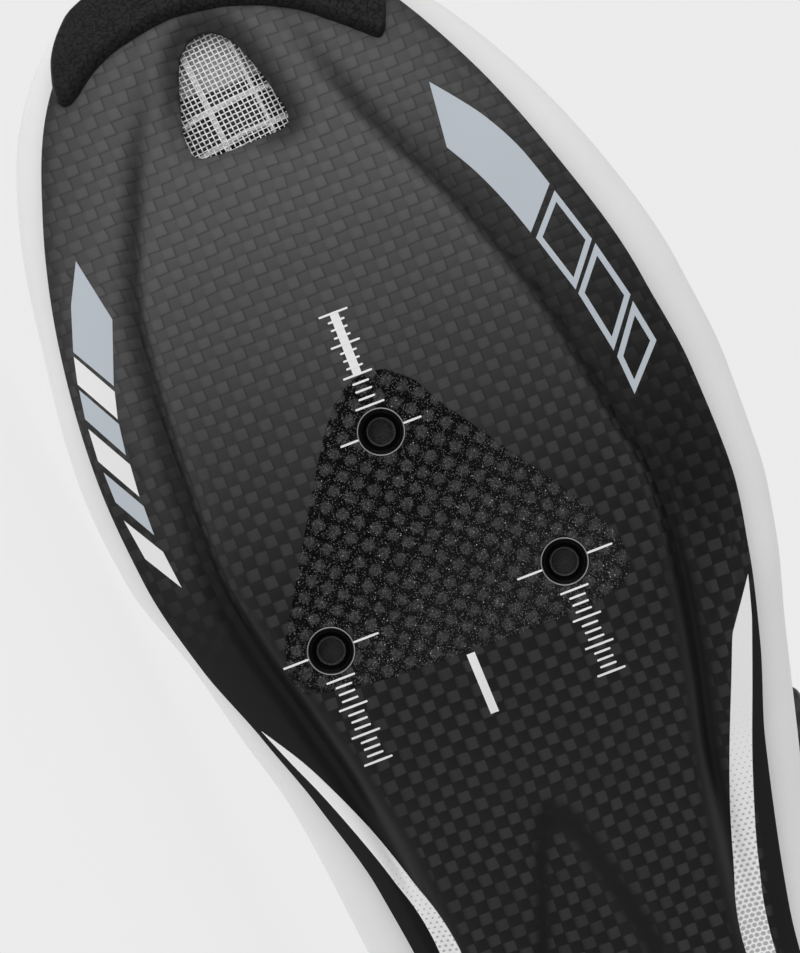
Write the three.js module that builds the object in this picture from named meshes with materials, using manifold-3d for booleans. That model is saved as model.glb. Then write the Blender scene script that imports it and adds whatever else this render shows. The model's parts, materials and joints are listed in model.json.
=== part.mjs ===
// A left cycling shoe, lying on its medial side with the sole facing -Y and the toe toward -X.
// It is modelled upright first: X toward the medial side, Y toward the toe, Z up, the heel's back at Y = 0
// and the ground at Z = 0. The last group then lays it down on the three places that it rests on.

import * as THREE from 'three';
import { mergeVertices } from 'three/addons/utils/BufferGeometryUtils.js';
import { ConvexHull } from 'three/addons/math/ConvexHull.js';
import Module from 'manifold-3d';

// Driving sizes, in millimetres

const SHOE_LENGTH = 296;
const BALL_WIDTH = 115;
const INSTEP_HEIGHT = 84;
const HEEL_HEIGHT = 88;
const TOE_SPRING = 18;
const ARCH_RISE = 14;

const WALL = 2;
const GAP = 0.3;
const PLATE = 2.4;
const STACK = 5;
const GROOVE_DEPTH = 0.9;
const RELIEF_DEPTH = 1.8;
const LASTING_MARGIN = 11;
const INSOLE_THICKNESS = 3;
const TONGUE_THICKNESS = 3;
const TONGUE_LIFT = 1.2;

const BOLT_SPREAD = 43.5;
const BOLT_REACH = 32.5;
const BOLT_REAR_SHARE = 0.561;
const INSERT_WIDTH = 8.3;
const INSERT_BORE = 4.6;
const INSERT_MOUTH = 6.4;
const INSERT_FLANGE_WIDTH = 14;
const INSERT_FLANGE = 1.8;

const VENT_LENGTH = 19.5;
const VENT_WIDTH = 18.4;
const VENT_CENTRE = 4.1;
const VENT_SETBACK = 7.2;
const VENT_BORDER = 2.6;
const VENT_RECESS = 1.1;
const SCREEN_THICKNESS = 0.5;
const GRILLE_THICKNESS = 1.1;
const GRILLE_RIB = 1.6;
const GRILLE_FRAME = 2.6;

const BUMPER_THICKNESS = 2.2;
const HEEL_PAD_LENGTH = 50;
const HEEL_PAD_WIDTH = 42;
const HEEL_PAD_BACK = 14;

const THROAT_REAR_WIDTH = 30;
const THROAT_FRONT_WIDTH = 17;
const TONGUE_OVERLAP = 10;

const LACE_WIDTH = 1.4;
const GUIDE_LENGTH = 15;
const GUIDE_WIDTH = 9;
const GUIDE_HEIGHT = 3.4;
const DIAL_WIDTH = 26;
const DIAL_HEIGHT = 6.5;
const DIAL_BASE_WIDTH = 29;
const DIAL_BASE_HEIGHT = 3.2;
const DIAL_TEETH = 18;
const DIAL_TOOTH = 0.7;
const DIAL_ROOT = 8;
const DIAL_ROUNDING = 1;

// The profile of the sole's ground side

const GROOVE_LIP = 4.5;
const GROOVE_PLACE = 0.45;
const DECK_LIMIT = 0.72;
const DECK_STRIPS = 4;
const EDGE_RADIUS = 12;
const SOLE_OVERRUN = 1;

// One row for each section of the last, from the heel's back to the toe's tip. `along` is a share of the
// shoe's length. `axis`, `medial`, `lateral` and the two `inset` columns, by which the sole is narrower,
// are shares of the ball width, and so are the two `deck` columns, where the raised centre of the sole
// ends. `spring` and `rise` are shares of the toe spring and the arch rise, `belly` and `top` of the
// instep height. `square` shapes the lower half, and `raised` says how much of the deck stands there.
const LAST = [
  { along: 0.00, axis: 0, medial: 0.296, lateral: 0.296, insetMedial: 0.006, insetLateral: 0.006,
    deckMedial: 0.12, deckLateral: 0.14, spring: 0, rise: 0.42, belly: 0.214, top: 1.18, square: 2.5, raised: 0 },
  { along: 0.10, axis: 0, medial: 0.291, lateral: 0.296, insetMedial: 0.005, insetLateral: 0.005,
    deckMedial: 0.15, deckLateral: 0.17, spring: 0, rise: 0.34, belly: 0.214, top: 1.22, square: 2.6, raised: 0 },
  { along: 0.20, axis: 0, medial: 0.287, lateral: 0.309, insetMedial: 0.009, insetLateral: 0.012,
    deckMedial: 0.165, deckLateral: 0.20, spring: 0, rise: 0.48, belly: 0.214, top: 1.32, square: 2.7, raised: 0.2 },
  { along: 0.32, axis: 0, medial: 0.287, lateral: 0.368, insetMedial: 0.055, insetLateral: 0.035,
    deckMedial: 0.183, deckLateral: 0.230, spring: 0, rise: 1.00, belly: 0.190, top: 1.38, square: 2.8, raised: 0.8 },
  { along: 0.42, axis: 0, medial: 0.303, lateral: 0.422, insetMedial: 0.045, insetLateral: 0.039,
    deckMedial: 0.217, deckLateral: 0.271, spring: 0, rise: 0.62, belly: 0.190, top: 1.17, square: 2.9, raised: 1 },
  { along: 0.48, axis: 0, medial: 0.325, lateral: 0.470, insetMedial: 0.028, insetLateral: 0.051,
    deckMedial: 0.242, deckLateral: 0.313, spring: 0, rise: 0.22, belly: 0.202, top: 1.03, square: 3.0, raised: 1 },
  { along: 0.53, axis: 0, medial: 0.355, lateral: 0.511, insetMedial: 0.022, insetLateral: 0.061,
    deckMedial: 0.261, deckLateral: 0.335, spring: 0, rise: 0.00, belly: 0.210, top: 0.94, square: 3.1, raised: 1 },
  { along: 0.58, axis: 0, medial: 0.388, lateral: 0.534, insetMedial: -0.008, insetLateral: 0.064,
    deckMedial: 0.277, deckLateral: 0.347, spring: 0, rise: 0.00, belly: 0.214, top: 0.87, square: 3.2, raised: 1 },
  { along: 0.64, axis: 0, medial: 0.435, lateral: 0.537, insetMedial: 0.005, insetLateral: 0.069,
    deckMedial: 0.290, deckLateral: 0.329, spring: 0, rise: 0.00, belly: 0.214, top: 0.79, square: 3.3, raised: 1 },
  { along: 0.70, axis: 0, medial: 0.461, lateral: 0.522, insetMedial: 0.028, insetLateral: 0.074,
    deckMedial: 0.294, deckLateral: 0.291, spring: 0.00, rise: 0, belly: 0.210, top: 0.735, square: 3.3, raised: 1 },
  { along: 0.78, axis: 0.004, medial: 0.457, lateral: 0.494, insetMedial: 0.032, insetLateral: 0.077,
    deckMedial: 0.283, deckLateral: 0.233, spring: 0.15, rise: 0, belly: 0.200, top: 0.675, square: 3.3, raised: 1 },
  { along: 0.86, axis: 0.010, medial: 0.458, lateral: 0.467, insetMedial: 0.030, insetLateral: 0.072,
    deckMedial: 0.204, deckLateral: 0.160, spring: 0.40, rise: 0, belly: 0.180, top: 0.645, square: 3.2, raised: 0.6 },
  { along: 0.93, axis: 0.013, medial: 0.454, lateral: 0.433, insetMedial: 0.006, insetLateral: 0.060,
    deckMedial: 0.150, deckLateral: 0.100, spring: 0.68, rise: 0, belly: 0.160, top: 0.635, square: 3.1, raised: 0.05 },
  { along: 1.00, axis: 0.017, medial: 0.417, lateral: 0.383, insetMedial: 0.004, insetLateral: 0.050,
    deckMedial: 0.120, deckLateral: 0.080, spring: 1.05, rise: 0, belly: 0.140, top: 0.620, square: 3.0, raised: 0 },
];

// The ends of the last: over these shares of its length the plan and the heights round off to a point.
const TOE_PLAN_ROUND = 0.30;
const HEEL_PLAN_ROUND = 0.12;
const TOE_HEIGHT_ROUND = 0.10;
const HEEL_DOWN_ROUND = 0.07;
const TOP_SQUARE = 2.2;
const SOLE_TOE_INSET = 4;
const SOLE_HEEL_INSET = 0.5;

// The collar seen from the side: `along` is a share of the length, `high` of the heel height.
const COLLAR = [
  { along: -0.05, high: 1.00 },
  { along: 0.025, high: 1.00 },
  { along: 0.075, high: 0.91 },
  { along: 0.155, high: 0.74 },
  { along: 0.245, high: 0.71 },
  { along: 0.320, high: 0.84 },
  { along: 0.385, high: 1.06 },
  { along: 0.440, high: 1.30 },
];

// The throat and the tongue in plan, as shares of the length.
const THROAT_REAR = 0.30;
const THROAT_FRONT = 0.695;
const TONGUE_REAR = 0.352;
const TONGUE_FRONT = 0.735;

// The relief in the arch: a hollow that starts at its tip and widens toward the heel.
const RELIEF_TIP = { along: 0.436, across: -0.045 };
const RELIEF_LEGS = { along: 0.330, medial: 0.050, lateral: -0.105 };
const RELIEF_FADE = 0.24;
const RELIEF_SLOPE = 4.5;
const RELIEF_CLEAR = 0.8;
const RELIEF_ROWS = 8;

// The toe vent in plan
const VENT_CORNER = 2.5;
const VENT_SHOULDER = 0.75;
const VENT_NARROW = 0.72;
const VENT_SURFACE = 1.2;
const SCREEN_MARGIN = 1.2;
const INSERT_MOUTH_DEPTH = 1.2;
const GRILLE_LATERAL_RIB = -4.7;
const GRILLE_MEDIAL_RIB = 4.3;
const GRILLE_REAR_RIB = 2;
const GRILLE_FRONT_RIB = 8.4;
const GRILLE_PLATE = 13;

// The toe bumper's inner edge on the sole: `along` is a share of the length, `across` of the ball width.
const BUMPER_EDGE = [
  { along: 0.917, across: 0.330 },
  { along: 0.917, across: 0.263 },
  { along: 0.930, across: 0.184 },
  { along: 0.940, across: 0.063 },
  { along: 0.933, across: -0.055 },
  { along: 0.921, across: -0.126 },
  { along: 0.891, across: -0.207 },
  { along: 0.893, across: -0.330 },
];

// The top edge of the bumper's wrap, seen from the side, as shares of the length and the instep height.
const BUMPER_BACK = 0.87;
const BUMPER_LOW = 0.23;
const BUMPER_HIGH = 0.44;
const HEEL_PAD_ROUNDING = 1.2;
const HEEL_PAD_CORNER = 8;
const HEEL_PAD_HOLLOW = 6;

// The lace's route: `along` is a share of the length, `across` of the ball width, `lift` of the
// guides' height over the upper. It leaves the dial, turns in three guides and ends in the fourth.
const LACE_ROUTE = [
  { along: 0.410, across: -0.325, lift: 0.5 },
  { along: 0.418, across: -0.265, lift: 0.5 },
  { along: 0.430, across: -0.160, lift: 0.5 },
  { along: 0.447, across: 0.000, lift: 0.44 },
  { along: 0.466, across: 0.165, lift: 0.5 },
  { along: 0.476, across: 0.205, lift: 0.5 },
  { along: 0.487, across: 0.205, lift: 0.5 },
  { along: 0.497, across: 0.165, lift: 0.5 },
  { along: 0.512, across: 0.000, lift: 0.44 },
  { along: 0.527, across: -0.160, lift: 0.5 },
  { along: 0.537, across: -0.200, lift: 0.5 },
  { along: 0.548, across: -0.200, lift: 0.5 },
  { along: 0.558, across: -0.160, lift: 0.5 },
  { along: 0.573, across: 0.000, lift: 0.44 },
  { along: 0.588, across: 0.150, lift: 0.5 },
  { along: 0.598, across: 0.190, lift: 0.5 },
  { along: 0.609, across: 0.190, lift: 0.5 },
  { along: 0.619, across: 0.150, lift: 0.5 },
  { along: 0.634, across: 0.000, lift: 0.44 },
  { along: 0.649, across: -0.145, lift: 0.5 },
  { along: 0.655, across: -0.180, lift: 0.5 },
];
const GUIDES = [
  { name: 'guide_medial_rear', along: 0.4815, across: 0.190 },
  { name: 'guide_lateral_rear', along: 0.5425, across: -0.185 },
  { name: 'guide_medial_front', along: 0.6035, across: 0.175 },
  { name: 'guide_lateral_front', along: 0.652, across: -0.172 },
];
const DIAL = { along: 0.402, across: -0.375 };

// Fineness of the faceted forms

const LAST_ROWS = 30;
const LAST_COLUMNS = 26;
const SOLE_ROWS = 34;
const ROUND_SIDES = 16;
const LACE_STEPS = 44;
const COLLAR_STEPS = 21;
const TONGUE_ROWS = 11;
const TONGUE_LINES = [1, 0.7, 0.35, 0, -0.35, -0.7, -1];
const TONGUE_CORNER = 0.25;
const INSOLE_LINES = [1, 0.85, 0.5, 0, -0.5, -0.85, -1];
const INSOLE_SPREAD = 0.92;

// Finishes

const WHITE_LEATHER = { color: 0xe6e6e6, roughness: 0.5, metalness: 0 };
const DARK_COMPOSITE = { color: 0x2a2a2a, roughness: 0.35, metalness: 0 };
const BLACK_RUBBER = { color: 0x1c1c1c, roughness: 0.8, metalness: 0 };
const GREY_FABRIC = { color: 0x3a3a3a, roughness: 0.9, metalness: 0 };
const DARK_METAL = { color: 0x2e2e2e, roughness: 0.3, metalness: 1 };
const WIRE = { color: 0xc4c4c4, roughness: 0.35, metalness: 1 };
const PALE_PLASTIC = { color: 0xcfcfcf, roughness: 0.5, metalness: 0 };
const BLACK_PLASTIC = { color: 0x161616, roughness: 0.4, metalness: 0 };

const wasm = await Module();
wasm.setup();

// Smooth tables: a monotone cubic through one column, so that a run of equal values stays flat.

function slopeAt(rows, column, k) {
  if (k <= 0 || k >= rows.length - 1) return 0;
  const before = (rows[k][column] - rows[k - 1][column]) / (rows[k].along - rows[k - 1].along);
  const after = (rows[k + 1][column] - rows[k][column]) / (rows[k + 1].along - rows[k].along);
  if (before * after <= 0) return 0;
  return (2 * before * after) / (before + after);
}

function smooth(rows, column, along) {
  const last = rows.length - 1;
  if (along <= rows[0].along) return rows[0][column];
  if (along >= rows[last].along) return rows[last][column];
  let k = 0;
  while (rows[k + 1].along < along) k += 1;
  const step = rows[k + 1].along - rows[k].along;
  const t = (along - rows[k].along) / step;
  const h00 = 2 * t ** 3 - 3 * t ** 2 + 1;
  const h10 = t ** 3 - 2 * t ** 2 + t;
  const h01 = -2 * t ** 3 + 3 * t ** 2;
  const h11 = t ** 3 - t ** 2;
  return h00 * rows[k][column] + h10 * step * slopeAt(rows, column, k)
    + h01 * rows[k + 1][column] + h11 * step * slopeAt(rows, column, k + 1);
}

function easeBetween(low, high, value) {
  return THREE.MathUtils.smoothstep(value, Math.min(low, high), Math.max(low, high));
}

// How much of the full section stands at y, from 1 along the middle down to 0 at an end.
function endRound(y, start, end, startLength, endLength, power) {
  const toStart = (startLength - (y - start)) / startLength;
  const toEnd = (endLength - (end - y)) / endLength;
  const out = Math.min(Math.max(toStart, toEnd, 0), 1);
  return (1 - out ** power) ** (1 / power);
}

// The last's section at y: its centre, its four half sizes and the power of its lower half.
function section(y) {
  const along = y / SHOE_LENGTH;
  const plan = endRound(y, 0, SHOE_LENGTH, HEEL_PLAN_ROUND * SHOE_LENGTH, TOE_PLAN_ROUND * SHOE_LENGTH, 2);
  const tall = endRound(y, 0, SHOE_LENGTH, HEEL_PLAN_ROUND * SHOE_LENGTH, TOE_HEIGHT_ROUND * SHOE_LENGTH, 2);
  const deep = endRound(y, 0, SHOE_LENGTH, HEEL_DOWN_ROUND * SHOE_LENGTH, TOE_HEIGHT_ROUND * SHOE_LENGTH, 2.5);
  const bottom = STACK + smooth(LAST, 'spring', along) * TOE_SPRING + smooth(LAST, 'rise', along) * ARCH_RISE;
  const belly = smooth(LAST, 'belly', along) * INSTEP_HEIGHT;
  const middle = bottom + belly;
  return {
    axis: smooth(LAST, 'axis', along) * BALL_WIDTH,
    middle,
    medial: smooth(LAST, 'medial', along) * BALL_WIDTH * plan,
    lateral: smooth(LAST, 'lateral', along) * BALL_WIDTH * plan,
    up: (smooth(LAST, 'top', along) * INSTEP_HEIGHT - middle) * tall,
    down: belly * deep,
    square: smooth(LAST, 'square', along),
  };
}

// A point on the last: theta runs round the section, 0 medial, a quarter turn on the ridge, minus a
// quarter turn under the middle of the foot.
function onLast(y, theta) {
  const s = section(y);
  const c = Math.cos(theta);
  const n = Math.sin(theta);
  const power = n < 0 ? s.square : TOP_SQUARE;
  const reach = (Math.abs(c) ** power + Math.abs(n) ** power) ** (-1 / power);
  const across = c > 0 ? s.medial : s.lateral;
  const height = n > 0 ? s.up : s.down;
  return new THREE.Vector3(s.axis + across * c * reach, y, s.middle + height * n * reach);
}

function lastNormal(y, theta) {
  const dy = 0.05;
  const inside = THREE.MathUtils.clamp(y, 2 * dy, SHOE_LENGTH - 2 * dy);
  const alongY = onLast(inside + dy, theta).sub(onLast(inside - dy, theta));
  const round = onLast(inside, theta + 0.01).sub(onLast(inside, theta - 0.01));
  return alongY.cross(round).normalize();
}

// The last's surface moved out by an offset, or in by a negative one.
function lastPoint(y, theta, offset) {
  if (y <= 0) return new THREE.Vector3(section(0).axis, -offset, section(0).middle);
  if (y >= SHOE_LENGTH) {
    return new THREE.Vector3(section(SHOE_LENGTH).axis, SHOE_LENGTH + offset, section(SHOE_LENGTH).middle);
  }
  return onLast(y, theta).addScaledVector(lastNormal(y, theta), offset);
}

// The angle on the lower or the upper half of the section where the last has a given x.
function angleAt(y, x, upper) {
  const s = section(y);
  const power = upper ? TOP_SQUARE : s.square;
  const out = x - s.axis;
  const share = Math.min(Math.abs(out) / (out > 0 ? s.medial : s.lateral), 0.985);
  const rest = (1 - share ** power) ** (1 / power);
  const theta = Math.atan2(upper ? rest : -rest, share);
  return out > 0 ? theta : (upper ? Math.PI : -Math.PI) - theta;
}

// Closed forms

function geometryOf(points, triangles) {
  const geometry = new THREE.BufferGeometry().setFromPoints(points);
  geometry.setIndex(triangles.flat());
  return geometry;
}

// A closed skin over rings of points, each end closed by a fan.
function ringForm(rings) {
  const count = rings[0].length;
  const points = rings.flat();
  const triangles = [];
  for (let r = 0; r + 1 < rings.length; r += 1) {
    for (let k = 0; k < count; k += 1) {
      const next = (k + 1) % count;
      const a = r * count + k;
      const b = r * count + next;
      triangles.push([a, b, a + count], [b, b + count, a + count]);
    }
  }
  [0, rings.length - 1].forEach((r) => {
    const centre = new THREE.Vector3();
    rings[r].forEach((p) => centre.addScaledVector(p, 1 / count));
    points.push(centre);
    for (let k = 0; k < count; k += 1) {
      const edge = [r * count + k, r * count + ((k + 1) % count)];
      triangles.push(r === 0 ? [edge[1], edge[0], points.length - 1] : [edge[0], edge[1], points.length - 1]);
    }
  });
  return toSolid(geometryOf(points, triangles));
}

// A closed sheet between two grids of points with the same rows and columns.
function sheetForm(outer, inner) {
  const rows = outer.length;
  const columns = outer[0].length;
  const points = [...outer.flat(), ...inner.flat()];
  const at = (layer, r, c) => layer * rows * columns + r * columns + c;
  const triangles = [];
  const quad = (a, b, c, d) => triangles.push([a, b, c], [a, c, d]);
  for (let r = 0; r + 1 < rows; r += 1) {
    for (let c = 0; c + 1 < columns; c += 1) {
      quad(at(0, r, c), at(0, r, c + 1), at(0, r + 1, c + 1), at(0, r + 1, c));
      quad(at(1, r, c), at(1, r + 1, c), at(1, r + 1, c + 1), at(1, r, c + 1));
    }
    quad(at(0, r, 0), at(0, r + 1, 0), at(1, r + 1, 0), at(1, r, 0));
    quad(at(0, r + 1, columns - 1), at(0, r, columns - 1), at(1, r, columns - 1), at(1, r + 1, columns - 1));
  }
  for (let c = 0; c + 1 < columns; c += 1) {
    quad(at(0, 0, c + 1), at(0, 0, c), at(1, 0, c), at(1, 0, c + 1));
    quad(at(0, rows - 1, c), at(0, rows - 1, c + 1), at(1, rows - 1, c + 1), at(1, rows - 1, c));
  }
  return toSolid(geometryOf(points, triangles));
}

function signedVolume(points, triangles) {
  const [a, b, c] = [new THREE.Vector3(), new THREE.Vector3(), new THREE.Vector3()];
  let sum = 0;
  for (let k = 0; k < triangles.length; k += 3) {
    a.fromArray(points, 3 * triangles[k]);
    b.fromArray(points, 3 * triangles[k + 1]);
    c.fromArray(points, 3 * triangles[k + 2]);
    sum += a.dot(b.cross(c)) / 6;
  }
  return sum;
}

// Turns a closed geometry into a solid that can be joined and cut, with its faces pointing out.
function toSolid(geometry) {
  geometry.deleteAttribute('normal');
  geometry.deleteAttribute('uv');
  const merged = mergeVertices(geometry, 1e-5);
  const vertProperties = new Float32Array(merged.attributes.position.array);
  const triVerts = new Uint32Array(merged.index.array);
  if (signedVolume(vertProperties, triVerts) < 0) triVerts.reverse();
  return new wasm.Manifold(new wasm.Mesh({ numProp: 3, vertProperties, triVerts }));
}

function toMesh(name, solid, finish) {
  const mesh = solid.getMesh();
  const geometry = new THREE.BufferGeometry();
  geometry.setAttribute('position', new THREE.BufferAttribute(new Float32Array(mesh.vertProperties), 3));
  geometry.setIndex(new THREE.BufferAttribute(new Uint32Array(mesh.triVerts), 1));
  geometry.computeVertexNormals();
  const part = new THREE.Mesh(geometry, new THREE.MeshStandardMaterial(finish));
  part.name = name;
  return part;
}

// An upright prism over a plan outline.
function prismForm(shape, low, high, curveSegments = 8) {
  const geometry = new THREE.ExtrudeGeometry(shape, { depth: high - low, bevelEnabled: false, curveSegments });
  geometry.translate(0, 0, low);
  return toSolid(geometry);
}

function cylinderForm(radius, low, high, x, y) {
  const geometry = new THREE.CylinderGeometry(radius, radius, high - low, ROUND_SIDES);
  geometry.rotateX(Math.PI / 2);
  geometry.translate(x, y, (low + high) / 2);
  return toSolid(geometry);
}

// The whole last, moved out by an offset.
function lastForm(offset) {
  const rings = [];
  for (let r = 1; r < LAST_ROWS; r += 1) {
    const y = (SHOE_LENGTH * (1 - Math.cos((Math.PI * r) / LAST_ROWS))) / 2;
    const ring = [];
    for (let k = 0; k < LAST_COLUMNS; k += 1) {
      ring.push(lastPoint(y, (2 * Math.PI * k) / LAST_COLUMNS, offset));
    }
    rings.push(ring);
  }
  return ringForm(rings);
}

// The sole

function soleHalf(y, side) {
  const along = y / SHOE_LENGTH;
  const [full, inset] = side > 0 ? ['medial', 'insetMedial'] : ['lateral', 'insetLateral'];
  const round = endRound(
    y, SOLE_HEEL_INSET, SHOE_LENGTH - SOLE_TOE_INSET,
    HEEL_PLAN_ROUND * SHOE_LENGTH, TOE_PLAN_ROUND * SHOE_LENGTH - SOLE_TOE_INSET, 2,
  );
  return (smooth(LAST, full, along) - smooth(LAST, inset, along)) * BALL_WIDTH * round;
}

// The ground side of the raised centre: flat under the ball and the cleat.
function deckHeight(y) {
  const along = y / SHOE_LENGTH;
  return smooth(LAST, 'spring', along) * TOE_SPRING + smooth(LAST, 'rise', along) * ARCH_RISE;
}

// The lengthwise lines of the sole's ground side at y, from the medial edge to the lateral edge.
function soleLines(y) {
  const along = y / SHOE_LENGTH;
  const axis = smooth(LAST, 'axis', along) * BALL_WIDTH;
  const side = (sign, edge, deck) => [
    { x: axis + sign * edge, kind: 'band' },
    { x: axis + (sign * (edge + deck + GROOVE_LIP)) / 2, kind: 'band' },
    { x: axis + sign * (deck + GROOVE_LIP), kind: 'band' },
    { x: axis + sign * (deck + GROOVE_LIP * GROOVE_PLACE), kind: 'groove' },
    { x: axis + sign * deck, kind: 'deck' },
  ];
  const medialEdge = soleHalf(y, 1);
  const lateralEdge = soleHalf(y, -1);
  const medialDeck = Math.min(smooth(LAST, 'deckMedial', along) * BALL_WIDTH, DECK_LIMIT * medialEdge);
  const lateralDeck = Math.min(smooth(LAST, 'deckLateral', along) * BALL_WIDTH, DECK_LIMIT * lateralEdge);
  const inner = [];
  for (let k = 1; k < DECK_STRIPS; k += 1) {
    inner.push({ x: axis + medialDeck - ((medialDeck + lateralDeck) * k) / DECK_STRIPS, kind: 'deck' });
  }
  return [...side(1, medialEdge, medialDeck), ...inner, ...side(-1, lateralEdge, lateralDeck).reverse()];
}

// The ground side of the sole on one line, moved out by a clearance.
function solePoint(y, line, theta, clearance) {
  const raised = smooth(LAST, 'raised', y / SHOE_LENGTH);
  const groove = line.kind === 'groove' ? GROOVE_DEPTH * raised : 0;
  const point = lastPoint(y, theta, GAP + PLATE - groove + clearance);
  if (line.kind !== 'deck') return point;
  return point.lerp(new THREE.Vector3(line.x, y, deckHeight(y) - clearance), raised);
}

// The sole before its holes are cut, from inside the last to its ground side.
function soleForm(clearance) {
  const outer = [];
  const inner = [];
  const start = SOLE_HEEL_INSET;
  const length = SHOE_LENGTH - SOLE_TOE_INSET - start;
  for (let r = 1; r < SOLE_ROWS; r += 1) {
    const y = start + (length * (1 - Math.cos((Math.PI * r) / SOLE_ROWS))) / 2;
    const lines = soleLines(y);
    const turn = (clearance * 2) / EDGE_RADIUS;
    const angles = lines.map((line) => angleAt(y, line.x, false));
    angles[0] += turn;
    angles[lines.length - 1] -= turn;
    outer.push(lines.map((line, k) => solePoint(y, line, angles[k], clearance)));
    inner.push(angles.map((theta) => lastPoint(y, theta, -SOLE_OVERRUN)));
  }
  return sheetForm(outer, inner);
}

// The hollow in the arch: a soft-sided wedge from its tip to where it fades out behind.
function reliefForm() {
  const deep = [];
  const below = [];
  for (let r = 0; r <= RELIEF_ROWS; r += 1) {
    const share = r / RELIEF_ROWS;
    const along = THREE.MathUtils.lerp(RELIEF_TIP.along, RELIEF_FADE, share);
    const y = along * SHOE_LENGTH;
    const spread = (RELIEF_TIP.along - along) / (RELIEF_TIP.along - RELIEF_LEGS.along);
    const medial = THREE.MathUtils.lerp(RELIEF_TIP.across, RELIEF_LEGS.medial, Math.min(spread, 1)) * BALL_WIDTH;
    const lateral = THREE.MathUtils.lerp(RELIEF_TIP.across, RELIEF_LEGS.lateral, Math.min(spread, 1)) * BALL_WIDTH;
    const deepening = easeBetween(0, 0.35, share) * (1 - easeBetween(0.6, 1, share));
    const depth = THREE.MathUtils.lerp(-RELIEF_CLEAR, RELIEF_DEPTH, deepening);
    const xs = [medial + RELIEF_SLOPE, medial, (medial + lateral) / 2, lateral, lateral - RELIEF_SLOPE];
    const depths = [-RELIEF_CLEAR, depth, depth, depth, -RELIEF_CLEAR];
    deep.push(xs.map((x, k) => new THREE.Vector3(x, y, deckHeight(y) + depths[k])));
    below.push(xs.map((x) => new THREE.Vector3(x, y, deckHeight(y) - STACK)));
  }
  return sheetForm(deep, below);
}

// The y of the vent's straight back, set back from the front end of the upper's underside opening.
function ventRear() {
  return SHOE_LENGTH - SOLE_TOE_INSET - LASTING_MARGIN - VENT_SETBACK - VENT_LENGTH;
}

// The toe vent's outline, grown by a margin: a straight back with round corners and an arched front.
function ventOutline(margin) {
  const rear = ventRear() - margin;
  const front = ventRear() + VENT_LENGTH + margin;
  const half = VENT_WIDTH / 2 + margin;
  const corner = VENT_CORNER + margin;
  const shoulder = front - half * VENT_SHOULDER;
  const narrow = half * VENT_NARROW;
  const shape = new THREE.Shape();
  shape.moveTo(VENT_CENTRE - half + corner, rear);
  shape.lineTo(VENT_CENTRE + half - corner, rear);
  shape.quadraticCurveTo(VENT_CENTRE + half, rear, VENT_CENTRE + half, rear + corner);
  shape.lineTo(VENT_CENTRE + narrow, shoulder);
  shape.quadraticCurveTo(VENT_CENTRE + narrow, front, VENT_CENTRE, front);
  shape.quadraticCurveTo(VENT_CENTRE - narrow, front, VENT_CENTRE - narrow, shoulder);
  shape.lineTo(VENT_CENTRE - half, rear + corner);
  shape.quadraticCurveTo(VENT_CENTRE - half, rear, VENT_CENTRE - half + corner, rear);
  return shape;
}

// The vent's cut: a sloped border down to the recess, then straight through.
function ventCut() {
  const ring = (margin, height) => ventOutline(margin).getPoints(4).slice(0, -1)
    .map((p) => new THREE.Vector3(p.x, p.y, deckHeight(p.y) + height));
  return ringForm([
    ring(VENT_BORDER, -STACK),
    ring(VENT_BORDER, VENT_SURFACE),
    ring(0, VENT_SURFACE + VENT_RECESS),
    ring(0, VENT_SURFACE + 4 * STACK),
  ]);
}

function boltPlaces() {
  const rear = BOLT_REAR_SHARE * SHOE_LENGTH;
  return [
    { name: 'insert_front', x: 0, y: rear + BOLT_REACH },
    { name: 'insert_rear_medial', x: BOLT_SPREAD / 2, y: rear },
    { name: 'insert_rear_lateral', x: -BOLT_SPREAD / 2, y: rear },
  ];
}

function outsole(insideOfSole) {
  let solid = soleForm(0).subtract(insideOfSole).subtract(reliefForm()).subtract(ventCut());
  boltPlaces().forEach(({ x, y }) => {
    solid = solid.subtract(cylinderForm(INSERT_WIDTH / 2 + GAP, -STACK, 2 * STACK, x, y));
    solid = solid.subtract(cylinderForm(INSERT_FLANGE_WIDTH / 2 + GAP, STACK - GAP, 3 * STACK, x, y));
  });
  return solid;
}

function threadedInsert(x, y) {
  const top = STACK + INSERT_FLANGE;
  const profile = [
    [INSERT_BORE / 2, INSERT_MOUTH_DEPTH], [INSERT_MOUTH / 2, 0], [INSERT_WIDTH / 2, 0], [INSERT_WIDTH / 2, STACK],
    [INSERT_FLANGE_WIDTH / 2, STACK], [INSERT_FLANGE_WIDTH / 2, top], [INSERT_BORE / 2, top],
    [INSERT_BORE / 2, INSERT_MOUTH_DEPTH],
  ].map(([radius, height]) => new THREE.Vector2(radius, height));
  const geometry = new THREE.LatheGeometry(profile, ROUND_SIDES);
  geometry.rotateX(Math.PI / 2);
  geometry.translate(x, y, 0);
  return toSolid(geometry);
}

function ventScreen() {
  const outline = prismForm(ventOutline(SCREEN_MARGIN), 0, INSTEP_HEIGHT / 2, 4);
  return outline.intersect(lastForm(0)).subtract(lastForm(-SCREEN_THICKNESS));
}

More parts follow.
